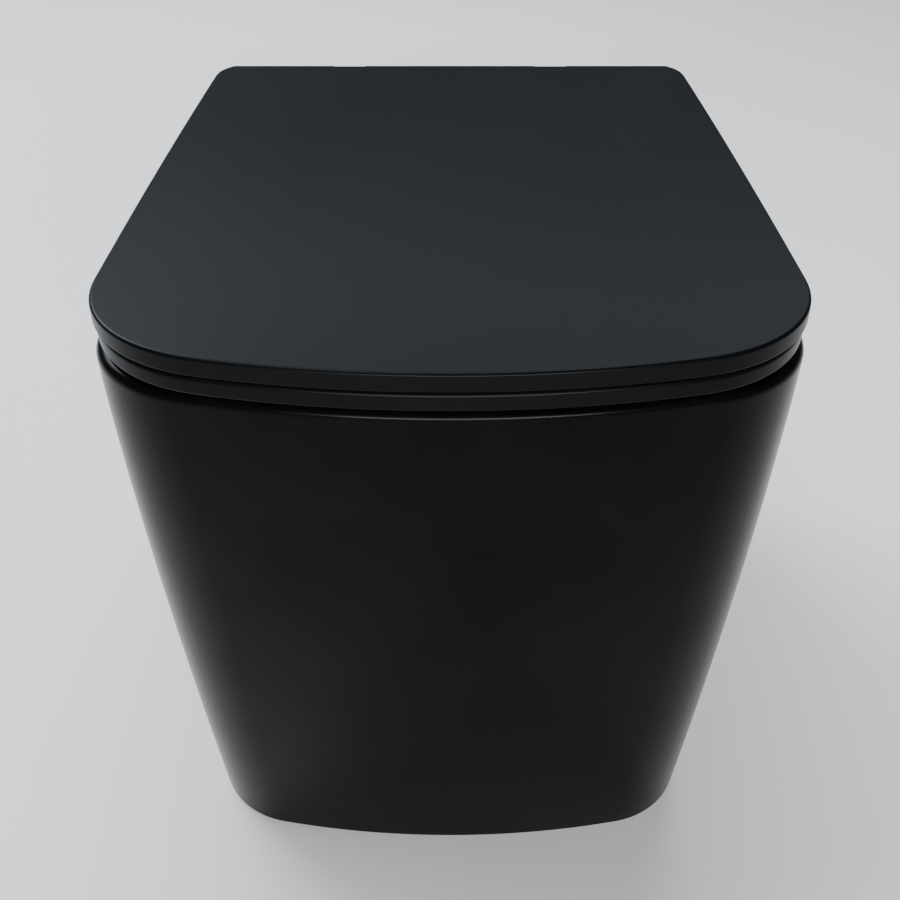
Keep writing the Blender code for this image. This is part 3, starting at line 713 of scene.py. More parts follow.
def combine(obj: bpy.types.Object, others: list[bpy.types.Object], how: Cut) -> bpy.types.Object:
    """Cuts or joins other shapes into an object, and removes them.

    Args:
        obj: the piece.
        others: closed shapes; their materials come with the faces that they leave.
        how: take away or join.

    Returns:
        The piece.
    """
    for other in others:
        modifier = obj.modifiers.new(other.name, "BOOLEAN")
        modifier.operation = how.value
        modifier.solver = "EXACT"
        modifier.material_mode = "TRANSFER"
        modifier.object = other
    bpy.context.view_layer.update()
    mesh = bpy.data.meshes.new_from_object(obj.evaluated_get(bpy.context.evaluated_depsgraph_get()))
    obj.modifiers.clear()
    obj.data = mesh
    for other in others:
        bpy.data.objects.remove(other, do_unlink=True)
    return outward(obj)


def even_shading(obj: bpy.types.Object) -> None:
    """Weights the normals by face area, so that flat faces stay flat beside rounded edges.

    Args:
        obj: the piece.
    """
    weighted = obj.modifiers.new("even_shading", "WEIGHTED_NORMAL")
    weighted.keep_sharp = True
    weighted.weight = 60


def finish_piece(obj: bpy.types.Object, body: str, node: str) -> None:
    """Lets a piece ride on a body in place of its CAD node, and logs it.

    Args:
        obj: the piece.
        body: body that it moves with.
        node: CAD node that it stands for.
    """
    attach(obj, body)
    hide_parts(node)
    log.info("%s: %d faces, rides on %s", obj.name, len(obj.data.polygons), body)


def fit_turned(node: str, suffix: str, outline: list[tuple[float, float]], radii: list[float],
               material: bpy.types.Material, place: Matrix, segments: int = 64,
               closed: bool = False, body: str = "root", steps: int = 4) -> None:
    """Turns a rounded outline and sets it in the place of its CAD node.

    Args:
        node: the CAD node.
        suffix: end of the piece's name, after the node's.
        outline: corners of the (radius, height) profile.
        radii: radius at each corner.
        material: its finish.
        place: where the axis goes.
        segments: points round the circle.
        closed: whether the profile is a ring's.
        body: body that it moves with.
        steps: stretches in each rounded corner.
    """
    profile = rounded(outline, radii, closed, steps)
    finish_piece(turned(f"{node}_{suffix}", profile, material, place, segments), body, node)


def limits(node: str) -> tuple[Vector, Vector, np.ndarray]:
    """Low corner, high corner and middle of a CAD node's box."""
    low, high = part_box(node)
    return low, high, (np.array(low) + np.array(high)) / 2


def run_x(node: str, sign: int) -> tuple[float, float]:
    """Start and length of a node's box along X, in the direction of sign."""
    low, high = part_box(node)
    return (low.x if sign > 0 else high.x), high.x - low.x


def upright(x: float, y: float, z: float) -> Matrix:
    """Placement of a turned piece whose axis stands along +Z."""
    return Matrix.Translation((x, y, z))


def along_x(x: float, y: float, z: float, sign: int) -> Matrix:
    """Placement of a turned piece whose axis points along +X or -X."""
    return Matrix.Translation((x, y, z)) @ Matrix.Rotation(sign * math.pi / 2, 4, "Y")


def along_y(x: float, y: float, z: float) -> Matrix:
    """Placement of a turned piece whose axis points along +Y."""
    return Matrix.Translation((x, y, z)) @ Matrix.Rotation(-math.pi / 2, 4, "X")


# ---------------------------------------------------------------- pan
@dataclass
class Pan:
    """One-piece fired pan: skirt, deck, rimless bowl, trapway and flush inlet."""

    finishes: Finishes
    foot_half: float = 0.1679
    foot_setback: float = 0.0655       # foot behind the rim
    rim_corner: float = 0.070
    foot_corner: float = 0.0618
    foot_bow: float = 0.606
    side_power: float = 1.38           # above 1, the sides swell slightly outwards
    front_power: float = 1.27
    rim_round: float = 0.006
    foot_round: float = 0.003
    wall: float = 0.012
    deck_thick: float = 0.020
    back_corner: float = 0.006
    mouth_half: float = 0.142
    mouth_from_rim: float = 0.037
    mouth_length: float = 0.328
    mouth_round: float = 0.005
    mouth_powers: tuple[float, float] = (1.7, 1.5)   # how the bowl's width and front close in
    sump_from_mouth: tuple[float, float] = (0.151, 0.256)
    bowl_wall: float = 0.011
    trap_wall: float = 0.010
    horn_wall: float = 0.0065
    sump_half: float = 0.045
    sump_z: float = 0.043
    sump_close: float = 0.07
    flow_ledge: tuple[float, float, float] = (0.045, 0.0040, 0.010)   # depth, reach, height
    outlet_z: float = 0.180
    inlet_radius: float = 0.025
    socket_radius: float = 0.030
    hole_radius: float = 0.007
    side_hole_radius: float = 0.006
    side_hole_from: float = 0.135
    drill_length: float = 0.06
    drill_depth: float = 0.04
    low: np.ndarray = field(default_factory=lambda: np.array(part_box("pan")[0]))
    high: np.ndarray = field(default_factory=lambda: np.array(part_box("pan")[1]))

    def skirt(self, z: float, inset: float = 0.0, back: float = 0.0) -> np.ndarray:
        """Skirt ring at a height: rim and foot outlines mixed by (1 - z / height) to a power.

        The width and corners go by one power and the front by another.

        Args:
            z: height on the floor.
            inset: how far the ring lies inside the outer face.
            back: how far its back lies in front of the wall; negative runs past it.

        Returns:
            (n, 3) ring.
        """
        drop = float(np.clip(1 - z / self.high[2], 0, 1))
        side, front = drop ** self.side_power, drop ** self.front_power
        outline = Outline(
            half=self.high[0] + (self.foot_half - self.high[0]) * side,
            front=self.low[1] + self.foot_setback * front,
            back=self.high[1],
            corner=self.rim_corner + (self.foot_corner - self.rim_corner) * side,
            back_corner=self.back_corner,
            bow=FRONT_BOW + (self.foot_bow - FRONT_BOW) * front,
        )
        return at_height(outline.inset(inset, back).points(), z)

    def skin(self) -> bpy.types.Object:
        """Outer body, with an eased foot and a rounded rim.

        Returns:
            A closed body.
        """
        foot = [self.skirt(z, inset) for z, inset in zip(*quarter(self.foot_round, 6))]
        heights = np.linspace(self.foot_round, self.high[2] - self.rim_round, 40)[1:-1]
        side = [self.skirt(float(z)) for z in heights]
        rim = [self.skirt(self.high[2] - drop, inset, inset / 4)
               for inset, drop in zip(*quarter(self.rim_round, 12))]
        return grid_object("pan_body", np.stack(foot + side + rim), self.finishes.glaze, mirrored=True)

    def bowl_ring(self, share: float, grow: float = 0.0) -> np.ndarray:
        """Bowl section at a share of its depth, 0 at the mouth and 1 at the bottom of the sump.

        Half width, front and back each run from mouth to sump as a power of 1 - share squared. A
        shallow bell-shaped swelling below the rim is the ledge that guides the flush water.

        Args:
            share: share of the depth.
            grow: wall thickness added for the outside of the bowl.

        Returns:
            (n, 3) ring.
        """
        top = self.high[2]
        z = top + (self.sump_z - grow - top) * share
        opening = 1 - share ** 2
        by_width, by_front = (opening ** power for power in self.mouth_powers)
        mouth_front = self.low[1] + self.mouth_from_rim
        sump_front, sump_back = (mouth_front + reach for reach in self.sump_from_mouth)
        depth, reach, height = self.flow_ledge
        ledge = 0.0 if grow else reach * math.exp(-((top - z - depth) / height) ** 2)
        half = self.sump_half + (self.mouth_half - self.sump_half) * by_width + ledge
        front = sump_front + (mouth_front - sump_front) * by_front - ledge
        back = sump_back + (mouth_front + self.mouth_length - sump_back) * opening + ledge
        closing = max(0.0, (share - 1 + self.sump_close) / self.sump_close)
        shrink = math.sqrt(max(0.0, 1 - closing ** 2)) * 0.9 + 0.1       # a tenth is left flat at the bottom
        middle, length = (front + back) / 2, ((back - front) / 2 + grow) * shrink
        return at_height(oval((half + grow) * shrink, middle - length, middle + length, BOWL_POWER), z)

    def bowl_rings(self, even: int, first: float, closing: int, grow: float = 0.0) -> list[np.ndarray]:
        """Bowl sections: evenly spaced down to 0.93 of the depth, then crowding towards the bottom.

        Args:
            even: number of evenly spaced sections.
            first: angle whose sine places the first closing section.
            closing: number of closing sections.
            grow: wall thickness added for the outside of the bowl.

        Returns:
            The rings.
        """
        turn = 0.93
        shares = [*np.linspace(0.03, turn, even),
                  *(turn + (1 - turn) * np.sin(np.linspace(first, math.pi / 2, closing)))]
        return [self.bowl_ring(float(share), grow) for share in shares]

    def bowl_inside(self) -> bpy.types.Object:
        """Space of the bowl, flaring out over the rounded edge of its mouth.

        Returns:
            A closed cutter.
        """
        front = self.low[1] + self.mouth_from_rim
        back = front + self.mouth_length

        def mouth(flare: float, z: float) -> np.ndarray:
            """Mouth ring, wider by the flare."""
            return at_height(oval(self.mouth_half + flare, front - flare, back + flare, BOWL_POWER), z)

        rings = [mouth(self.mouth_round, self.high[2] + 0.01)]
        rings += [mouth(flare, self.high[2] - drop) for drop, flare in zip(*quarter(self.mouth_round, 9))]
        return grid_object("bowl_inside", np.stack(rings + self.bowl_rings(46, 0.1, 10)), self.finishes.glaze)

    def trap(self, name: str, grow: float, start: int, extra: float,
             material: bpy.types.Material) -> bpy.types.Object:
        """Trapway: circles carried along a smooth route through (distance back, height, radius) points.

        Args:
            name: name of the shape.
            grow: wall thickness added to each radius.
            start: control point that it starts at.
            extra: how far its last ring is carried past the spigot.
            material: finish of its faces.

        Returns:
            A closed pipe.
        """
        front = self.low[1] - 0.007        # the route below is measured from here
        knots = np.array([(0.250, 0.078, 0.032), (0.296, 0.075, 0.033), (0.338, 0.097, 0.035),
                          (0.366, 0.140, 0.037), (0.394, 0.180, 0.038), (0.428, 0.193, 0.039),
                          (0.460, 0.186, 0.041), (0.490, self.outlet_z, 0.0425)])[start:]
        route = smooth_route(knots, 8)
        step = np.gradient(route[:, :2], axis=0)
        step[-1] = (1, 0)
        step /= np.linalg.norm(step, axis=1)[:, None]
        route[-1, 0] += extra
        a = math.tau * np.arange(64) / 64
        radius = route[:, 2:3] + grow
        rise = radius * np.sin(a)
        grid = np.stack([radius * np.cos(a), front + route[:, 0:1] - step[:, 1:2] * rise,
                         route[:, 1:2] + step[:, 0:1] * rise], axis=2)
        return grid_object(name, grid, material)

    def inlet(self, name: str, profile: list[tuple[float, float]],
              material: bpy.types.Material) -> bpy.types.Object:
        """Round shape about the flush inlet's axis, from (radius, distance behind the rim's front)."""
        return turned(name, profile, material, along_y(0, self.low[1], INLET_Z))

    def holes(self) -> list[bpy.types.Object]:
        """Seat-fixing holes in the deck and the two side-fixing holes in the skirt.

        Returns:
            Closed cutters.
        """
        cutters = []
        for side in Side:
            plate, cap = (limits(f"{part}_{side.label}")[2] for part in ("hinge_plate", "screw_cap"))
            cutters += [rod(f"seat_hole_{side.label}", self.hole_radius, self.drill_length, self.finishes.clay,
                            upright(plate[0], plate[1], self.high[2] - self.drill_depth)),
                        rod(f"side_hole_{side.label}", self.side_hole_radius, self.drill_length, self.finishes.clay,
                            along_x(side.sign * self.side_hole_from, cap[1], cap[2], side.sign))]
        return cutters

    def build(self) -> None:
        """Makes the pan and sets it in the place of its CAD node."""
        clay, glaze = self.finishes.clay, self.finishes.glaze
        heights = [-0.01, 0.0, 0.05, 0.10, 0.15, 0.20, 0.25, 0.30, 0.34, self.high[2] - self.deck_thick]
        rings = np.stack([self.skirt(z, self.wall, -0.02) for z in heights])
        void = grid_object("void_under_deck", rings, clay, mirrored=True)
        outside = grid_object("bowl_outside", np.stack(self.bowl_rings(24, 0.15, 8, self.bowl_wall)), clay)
        start, step, end = 0.343, 0.441, 0.471       # bowl's back wall, socket's shoulder, horn's mouth
        wide, past = self.socket_radius + self.horn_wall, end + 0.02
        horn = self.inlet("inlet_outside", [(0, start), (wide, start), (wide, end), (0, end)], clay)
        combine(void, [outside, self.trap("trap_outside", self.trap_wall, 1, 0.0, clay), horn], Cut.TAKE_AWAY)
        pan = combine(self.skin(), [void], Cut.TAKE_AWAY)
        socket = self.inlet("inlet_socket", [(0, start), (self.inlet_radius, start), (self.inlet_radius, step),
                                             (self.socket_radius, step), (self.socket_radius, past), (0, past)], clay)
        combine(pan, [self.bowl_inside(), self.trap("trap_inside", 0.0, 0, 0.02, glaze), socket],
                Cut.TAKE_AWAY)
        combine(pan, self.holes(), Cut.TAKE_AWAY)
        even_shading(pan)
        finish_piece(pan, "root", "pan")


def smooth_route(knots: np.ndarray, steps: int) -> np.ndarray:
    """Catmull-Rom curve through knots of any dimension.

    Between knots p1 and p2 the point at t is half of 2 p1 + (p2 - p0) t + (2 p0 - 5 p1 + 4 p2 - p3) t^2
    + (3 p1 - p0 - 3 p2 + p3) t^3.

    Args:
        knots: (n, d) control points.
        steps: stretches between two knots.

    Returns:
        ((n - 1) * steps + 1, d) points.
    """
    padded = np.vstack([2 * knots[0] - knots[1], knots, 2 * knots[-1] - knots[-2]])
    p0, p1, p2, p3 = (padded[i:len(padded) - 3 + i, None] for i in range(4))
    t = (np.arange(steps) / steps)[None, :, None]
    curve = 0.5 * (2 * p1 + (p2 - p0) * t + (2 * p0 - 5 * p1 + 4 * p2 - p3) * t ** 2
                   + (3 * p1 - p0 - 3 * p2 + p3) * t ** 3)
    return np.vstack([curve.reshape(-1, knots.shape[1]), knots[-1]])


@dataclass
class FlushFittings:
    """Lip seal for the flush pipe, and the diffuser that spreads the flush in the bowl."""

    finishes: Finishes
    ring_segments: int = 72

    def build(self) -> None:
        """Makes both fittings on the inlet's axis."""
        axis, nylon = along_y(0, 0, INLET_Z), self.finishes.black_nylon
        low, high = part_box("flush_pipe_seal")
        start, end, flange = low.y, high.y, high.y - 0.003
        outline = [(0.0297, start), (0.0297, flange), (0.0340, flange), (0.0340, end), (0.0225, end),
                   (0.0240, end - 0.008), (0.0226, end - 0.014), (0.0242, end - 0.020), (0.0228, end - 0.026),
                   (0.0240, start)]
        fit_turned("flush_pipe_seal", "ring", outline, [0.0006, 0.0004, 0.0006, *[0.001] * 6, 0.0006],
                   self.finishes.rubber, axis, self.ring_segments, closed=True)

        low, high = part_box("flush_diffuser")
        face, back = low.y, high.y
        tube = rounded([(0.0247, back - 0.034), (0.0247, back), (0.0215, back), (0.0215, back - 0.034)],
                       [0.0006] * 4, closed=True)
        dish = rounded([(0, face), (0.020, face + 0.001), (0.027, face + 0.0035), (0.027, face + 0.0055),
                        (0.020, face + 0.0035), (0, face + 0.0025)], [0, 0.008, 0.0008, 0.0008, 0.008, 0])
        shell, shield = (turned(name, profile, nylon, axis, self.ring_segments)
                         for name, profile in (("flush_diffuser_cap", tube), ("diffuser_dish", dish)))
        ribs = [brick(f"diffuser_rib_{n}", (-0.0010, face + 0.0022, INLET_Z + z_low),
                      (0.0010, back - 0.024, INLET_Z + z_high), nylon)
                for n, (z_low, z_high) in enumerate(((0.0195, 0.0243), (-0.0243, -0.0195)))]
        combine(shell, [shield, *ribs], Cut.JOIN)
        finish_piece(shell, "root", "flush_diffuser")


# ---------------------------------------------------------------- seat and lid
@dataclass
class SeatSet:
    """Slim seat and wrap-over lid on a common hinge axis, with their rubber rests."""

    finishes: Finishes
    corner: float = 0.083
    seat_back_corner: float = 0.028
    lid_back_corner: float = 0.032
    lid_thick: float = 0.010
    lid_edge: float = 0.0018
    lid_lower_edge: float = 0.0012
    seat_edge: float = 0.0030
    seat_lower_edge: float = 0.0015
    seat_length: float = 0.4410
    hole_half: float = 0.110
    hole_from_front: float = 0.0765
    hole_length: float = 0.272
    roll_radius: float = 0.012
    barrel_radius: float = 0.008
    shell_inner: float = 0.0085
    hinge_gap: float = 0.0005
    knuckle_end: float = 0.142
    shell_end: float = -3.0            # degrees; where the lid wraps down to behind the barrel
    shell_end_at_posts: float = 86.0   # so that the open lid clears the posts
    bore_radius: float = 0.0053
    bore_depth: float = 0.048

    def __post_init__(self) -> None:
        """Reads the places of the posts from the frame."""
        low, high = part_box("hinge_block_right")
        self.inner = low.x - self.hinge_gap
        self.outer = high.x + self.hinge_gap

    def slab(self, name: str, outline: Outline, bottom: float, top: float, lower_edge: float,
             upper_edge: float) -> bpy.types.Object:
        """Flat slab with quarter-round lower and upper edges.

        Args:
            name: name of the shape.
            outline: its widest outline.
            bottom: height of its underside.
            top: height of its top.
            lower_edge: radius of the lower edge.
            upper_edge: radius of the upper edge.

        Returns:
            A closed slab.
        """
        levels = [(bottom + rise, inset) for rise, inset in zip(*quarter(lower_edge, 8))]
        levels += [(top - drop, inset) for inset, drop in zip(*quarter(upper_edge, 8))]
        rings = [at_height(outline.inset(inset).points(), z) for z, inset in levels]
        return grid_object(name, np.stack(rings), self.finishes.duroplast, mirrored=True)

    def about_axis(self, radius: float, start: float, end: float, steps: int) -> np.ndarray:
        """Arc about the hinge axis in (y, z); 0 degrees points at the wall and 90 up."""
        return arc((AXIS[1], AXIS[2]), radius, math.radians(start), math.radians(end), steps)

    def hinge_space(self, name: str, end: float, low: float, high: float, underside: float) -> bpy.types.Object:
        """Room under the lid's rear roll: the barrel, and everything below the shell's lower end.

        Args:
            name: name of the shape.
            end: angle at which the shell stops, in degrees.
            low: smaller X.
            high: larger X.
            underside: height of the lid's underside.

        Returns:
            A closed cutter.
        """
        y, z = AXIS[1:]
        reach = 0.016                       # past the roll on every side
        start = 180 - math.degrees(math.asin((underside - z) / self.shell_inner))
        over = self.about_axis(self.shell_inner, start, end, 40)
        lip = self.about_axis(0.015, end, end, 1)[:1]
        points = [(y - reach, underside), *over, *lip]
        if end > 30:                        # the lip is above the axis, so the space needs a corner behind it
            points.append((y + reach, z + 0.0139))
        points += [(y + reach, z - reach), (y - reach, z - reach)]
        return extruded(name, np.array(points), low, high, self.finishes.duroplast)

    def bore(self, name: str, start_x: float, sign: int) -> bpy.types.Object:
        """Blind bore along the hinge axis for a damper or a bush."""
        return rod(name, self.bore_radius, self.bore_depth + 0.002, self.finishes.duroplast,
                   along_x(start_x, AXIS[1], AXIS[2], sign), 40)

    def build_lid(self) -> None:
        """Lid: thin slab whose rear edge rolls over the hinge and clears the posts."""
        plastic = self.finishes.duroplast
        low, high = (np.array(v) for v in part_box("lid"))
        underside = high[2] - self.lid_thick
        roof = underside + 0.0002
        outline = Outline(half=high[0], front=low[1], back=AXIS[1] + self.roll_radius, corner=self.corner,
                          back_corner=self.lid_back_corner)
        lid = self.slab("lid_moulding", outline, underside, high[2], self.lid_lower_edge, self.lid_edge)
        y, z = AXIS[1:]
        above, behind = high[2] + 0.004, y + 0.02
        nose = np.vstack([[(y, above)], self.about_axis(self.roll_radius, 90, 0, 24), [(behind, z), (behind, above)]])
        combine(lid, [extruded("lid_nose_cut", nose, -0.2, 0.2, plastic)], Cut.TAKE_AWAY)
        circle = self.about_axis(self.roll_radius - 0.0001, 0, 355, 71)
        combine(lid, [extruded("lid_roll", circle, -self.knuckle_end, self.knuckle_end, plastic)], Cut.JOIN)
        cutters = [self.hinge_space("space_for_barrel", self.shell_end, -self.inner, self.inner, roof)]
        for side in Side:
            ends = sorted((side.sign * (self.inner - 0.0001), side.sign * self.outer))
            cutters.append(self.hinge_space(f"space_for_post_{side.label}", self.shell_end_at_posts, *ends, roof))
            cutters.append(self.bore(f"lid_bore_{side.label}", side.sign * (self.outer - 0.002), side.sign))
        combine(lid, cutters, Cut.TAKE_AWAY)
        combine(lid, [self.round_pocket(n) for n in self.rests("lid")], Cut.TAKE_AWAY)
        even_shading(lid)
        finish_piece(lid, "lid", "lid")

    def rests(self, part: str) -> list[str]:
        """Names of the four buffers of the seat or the lid."""
        return [f"{part}_buffer_{end}_{side.label}" for end in ("front", "rear") for side in Side]

    def round_pocket(self, node: str) -> bpy.types.Object:
        """Pocket in the lid's underside for one of its buffers."""
        low, high, (x, y, _) = limits(node)
        return rod(f"pocket_{node}", (high.x - low.x) / 2 + GAP, high.z + GAP - low.z, self.finishes.duroplast,
                   upright(x, y, low.z))

    def long_pocket(self, node: str) -> bpy.types.Object:
        """Pocket in the seat's underside for one of its buffers."""
        low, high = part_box(node)
        rings = np.stack([self.stadium(node, GAP, z) for z in (low.z, high.z + GAP)])
        return grid_object(f"pocket_{node}", rings, self.finishes.duroplast)

    def stadium(self, node: str, grow: float, z: float) -> np.ndarray:
        """Ring with straight sides along Y and half-round ends, round a buffer's box.

        Args:
            node: the buffer's CAD node.
            grow: how far outside the box the ring runs.
            z: its height.

        Returns:
            (n, 3) ring.
        """
        low, high, (x, y, _) = limits(node)
        radius = (high.x - low.x) / 2
        reach = (high.y - low.y) / 2 - radius
        rear = arc((x, y + reach), radius + grow, 0, math.pi, 16)
        front = arc((x, y - reach), radius + grow, math.pi, math.tau, 16)
        return at_height(np.vstack([rear, front]), z)

    def build_seat(self) -> None:
        """Seat: thin ring with a neck and a barrel between the posts."""
        plastic = self.finishes.duroplast
        low, high = (np.array(v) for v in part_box("seat"))
        bottom, top = float(low[2]), AXIS[2] + 0.001
        outline = Outline(half=high[0], front=low[1], back=low[1] + self.seat_length, corner=self.corner - 0.0015,
                          back_corner=self.seat_back_corner)
        lower = self.seat_lower_edge
        seat = self.slab("seat_moulding", outline, bottom, top, lower, self.seat_edge)
        front = low[1] + self.hole_from_front
        levels = [(bottom - 0.002, lower), *((bottom + lower - flare, flare) for flare in quarter(lower, 8)[1]),
                  *((top - drop, flare) for flare, drop in zip(*quarter(self.seat_edge, 8))),
                  (top + 0.002, self.seat_edge)]
        rings = [at_height(oval(self.hole_half + e, front - e, front + self.hole_length + e, 2.6, 120), z)
                 for z, e in levels]
        combine(seat, [grid_object("seat_hole", np.stack(rings), plastic)], Cut.TAKE_AWAY)
        y, z = AXIS[1:]
        neck = brick("seat_neck", (-self.inner + 0.001, outline.back - 0.012, z - self.barrel_radius + 0.0004),
                     (self.inner - 0.001, y, top - 0.0004), plastic)
        barrel = extruded("seat_barrel", self.about_axis(self.barrel_radius, 5, 360, 71), -self.inner, self.inner,
                          plastic)
        combine(seat, [neck, barrel], Cut.JOIN)
        bores = [self.bore(f"seat_bore_{side.label}", side.sign * (self.inner + 0.002), -side.sign) for side in Side]
        combine(seat, bores, Cut.TAKE_AWAY)
        combine(seat, [self.long_pocket(n) for n in self.rests("seat")], Cut.TAKE_AWAY)
        even_shading(seat)
        finish_piece(seat, "seat", "seat")

    def build_rests(self) -> None:
        """Rubber buffers: long ones under the seat, round ones under the lid."""
        rubber = self.finishes.rubber
        for node in self.rests("lid"):
            low, high, (x, y, _) = limits(node)
            radius, height = (high.x - low.x) / 2, high.z - low.z
            fit_turned(node, "pad", [(0, 0), (radius, 0), (radius, height), (0, height)], [0, 0.0006, 0.0002, 0],
                       rubber, upright(x, y, low.z), 48, body="lid", steps=6)
        for node in self.rests("seat"):
            low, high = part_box(node)
            levels = [*((low.z + rise, -inset) for rise, inset in zip(*quarter(0.0012, 7))), (high.z, 0.0)]
            rings = [self.stadium(node, grow, z) for z, grow in levels]
            finish_piece(grid_object(f"{node}_pad", np.stack(rings), rubber), "seat", node)

    def build_cartridges(self) -> None:
        """Dampers and bushes in the hinge bores, with a blind socket for the pin."""
        kinds = (("damper", self.finishes.acetal, "damper_grey", 1),
                 ("bush", self.finishes.white_nylon, "white_nylon", -1))
        for kind, material, slot, sign in kinds:
            for body in ("seat", "lid"):
                node = f"{body}_{kind}"
                low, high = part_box(node)
                start, length = run_x(node, sign)
                radius = (high.z - low.z) / 2
                outline = [(0, 0.015), (0.0028, 0.015), (0.0028, 0.0), (radius - 0.0004, 0.0), (radius, 0.0012),
                           (radius, length * 0.42), (radius - 0.0004, length * 0.44),
                           (radius - 0.0004, length * 0.50), (radius, length * 0.52), (radius, length), (0, length)]
                fit_turned(node, "body", outline, [0, 0, 0.0003, 0.0003, 0.0004, *[0.0002] * 4, 0.0010, 0],
                           material, along_x(start, AXIS[1], AXIS[2], sign), 48, body=body)

    def build(self) -> None:
        """Makes the seat, the lid and what sits in them."""
        self.build_seat()
        self.build_lid()
        self.build_rests()
        self.build_cartridges()


# ---------------------------------------------------------------- hinges
@dataclass
class Hinge:
    """One quick-release hinge: plate, stud, plug and nut in the deck, block, pin and button above."""

    side: Side
    finishes: Finishes
    stud_radius: float = 0.0050

    def __post_init__(self) -> None:
        """Reads the post's place from the frame."""
        low, _, (self.x, _, _) = limits(f"hinge_block_{self.side.label}")
        self.foot = low.z

    def build_fixing(self) -> None:
        """Plate, stud, plug and nut of the top fixing in the deck."""
        name, stainless = self.side.label, self.finishes.stainless
        axis, inner, outer = upright(self.x, AXIS[1], 0), 0.0034, 0.0064      # nut's and plug's radii
        low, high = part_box(f"hinge_plate_{name}")
        radius = (high.x - low.x) / 2
        fit_turned(f"hinge_plate_{name}", "part",
                   [(inner, low.z), (radius, low.z), (radius, high.z), (inner, high.z)],
                   [0, 0, 0.0005, 0.0002], stainless, axis, 96, closed=True)
        low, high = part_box(f"hinge_stud_{name}")
        base, top, neck, big = self.foot, high.z, 0.0042, self.stud_radius
        outline = [(0, low.z), (0.0028, low.z), (0.0030, low.z + 0.001), (0.0030, base), (big, base),
                   (big, base + 0.0016), (neck, base + 0.0024), (neck, base + 0.0044), (big, base + 0.0052),
                   (big, base + 0.0072), (0.0044, top), (0.0018, top), (0.0018, top - 0.0015), (0, top - 0.0015)]
        radii = [0, 0, 0, 0, 0.0002, 0.0004, 0.0006, 0.0006, 0.0004, 0.0004, 0.0004, 0.0001, 0, 0]
        fit_turned(f"hinge_stud_{name}", "part", outline, radii, stainless, axis)
        low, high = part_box(f"hinge_plug_{name}")
        ridges = [(outer + 0.0003 * (n % 2), low.z + (high.z - low.z) * n / 16) for n in range(1, 16)]
        outline = [(0.0033, low.z), (outer, low.z), *ridges, (outer, high.z), (0.0033, high.z)]
        fit_turned(f"hinge_plug_{name}", "part", outline, [0.0003] * len(outline), self.finishes.rubber,
                   axis, closed=True)
        low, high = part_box(f"hinge_nut_{name}")
        fit_turned(f"hinge_nut_{name}", "part",
                   [(inner, low.z), (outer, low.z), (outer, high.z), (inner, high.z)], [0.0003] * 4,
                   self.finishes.brass, axis, 6, closed=True)

    def build_block(self) -> None:
        """Lift-off block with its pin and release button."""
        name, zinc, stainless = self.side.label, self.finishes.zinc, self.finishes.stainless
        low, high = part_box(f"hinge_block_{name}")
        y, z = AXIS[1:]
        radius = high.z - z
        over = arc((y, z), radius, math.radians(-5), math.radians(185), 36)
        foot = rounded([(y + radius, z), (y + radius, low.z), (y - radius, low.z), (y - radius, z)],
                       [0, 0.0012, 0.0012, 0])[1:-1]
        block = extruded(f"hinge_block_{name}_casting", np.vstack([over, foot[::-1]]), low.x, high.x, zinc)
        button_low, button_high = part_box(f"release_button_{name}")
        cutters = [rod("stud_bore", self.stud_radius + 0.0004, 0.0094, zinc, upright(self.x, y, low.z - 0.001)),
                   rod("pin_bore", 0.0029, high.x - low.x + 0.004, zinc, along_x(low.x - 0.002, y, z, 1), 40),
                   brick("button_pocket", (button_low.x - GAP, y + self.stud_radius, button_low.z - GAP),
                         (button_high.x + GAP, y + 0.010, button_high.z + GAP), zinc)]
        combine(block, cutters, Cut.TAKE_AWAY)
        ease_edges(block, 0.0004)
        finish_piece(block, "seat_mount", f"hinge_block_{name}")

        low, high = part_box(f"hinge_pin_{name}")
        length, radius = high.x - low.x, (high.z - low.z) / 2
        fit_turned(f"hinge_pin_{name}", "rod", [(0, 0), (radius, 0), (radius, length), (0, length)],
                   [0, 0.0005, 0.0005, 0], stainless, along_x(low.x, y, z, 1), 40,
                   body="seat_mount")

        button = brick(f"release_button_{name}_cap", tuple(button_low), tuple(button_high), stainless)
        grooves = [brick(f"thumb_groove_{n}", (button_low.x - 0.001, button_high.y - 0.0003, height - 0.0002),
                         (button_high.x + 0.001, button_high.y + 0.001, height + 0.0002), stainless)
                   for n, height in enumerate(np.linspace(button_low.z + 0.0015, button_high.z - 0.0015, 3))]
        combine(button, grooves, Cut.TAKE_AWAY)
        ease_edges(button, 0.0001)
        finish_piece(button, f"button_{name}", f"release_button_{name}")

    def build(self) -> None:
        """Makes the whole hinge."""
        self.build_fixing()
        self.build_block()


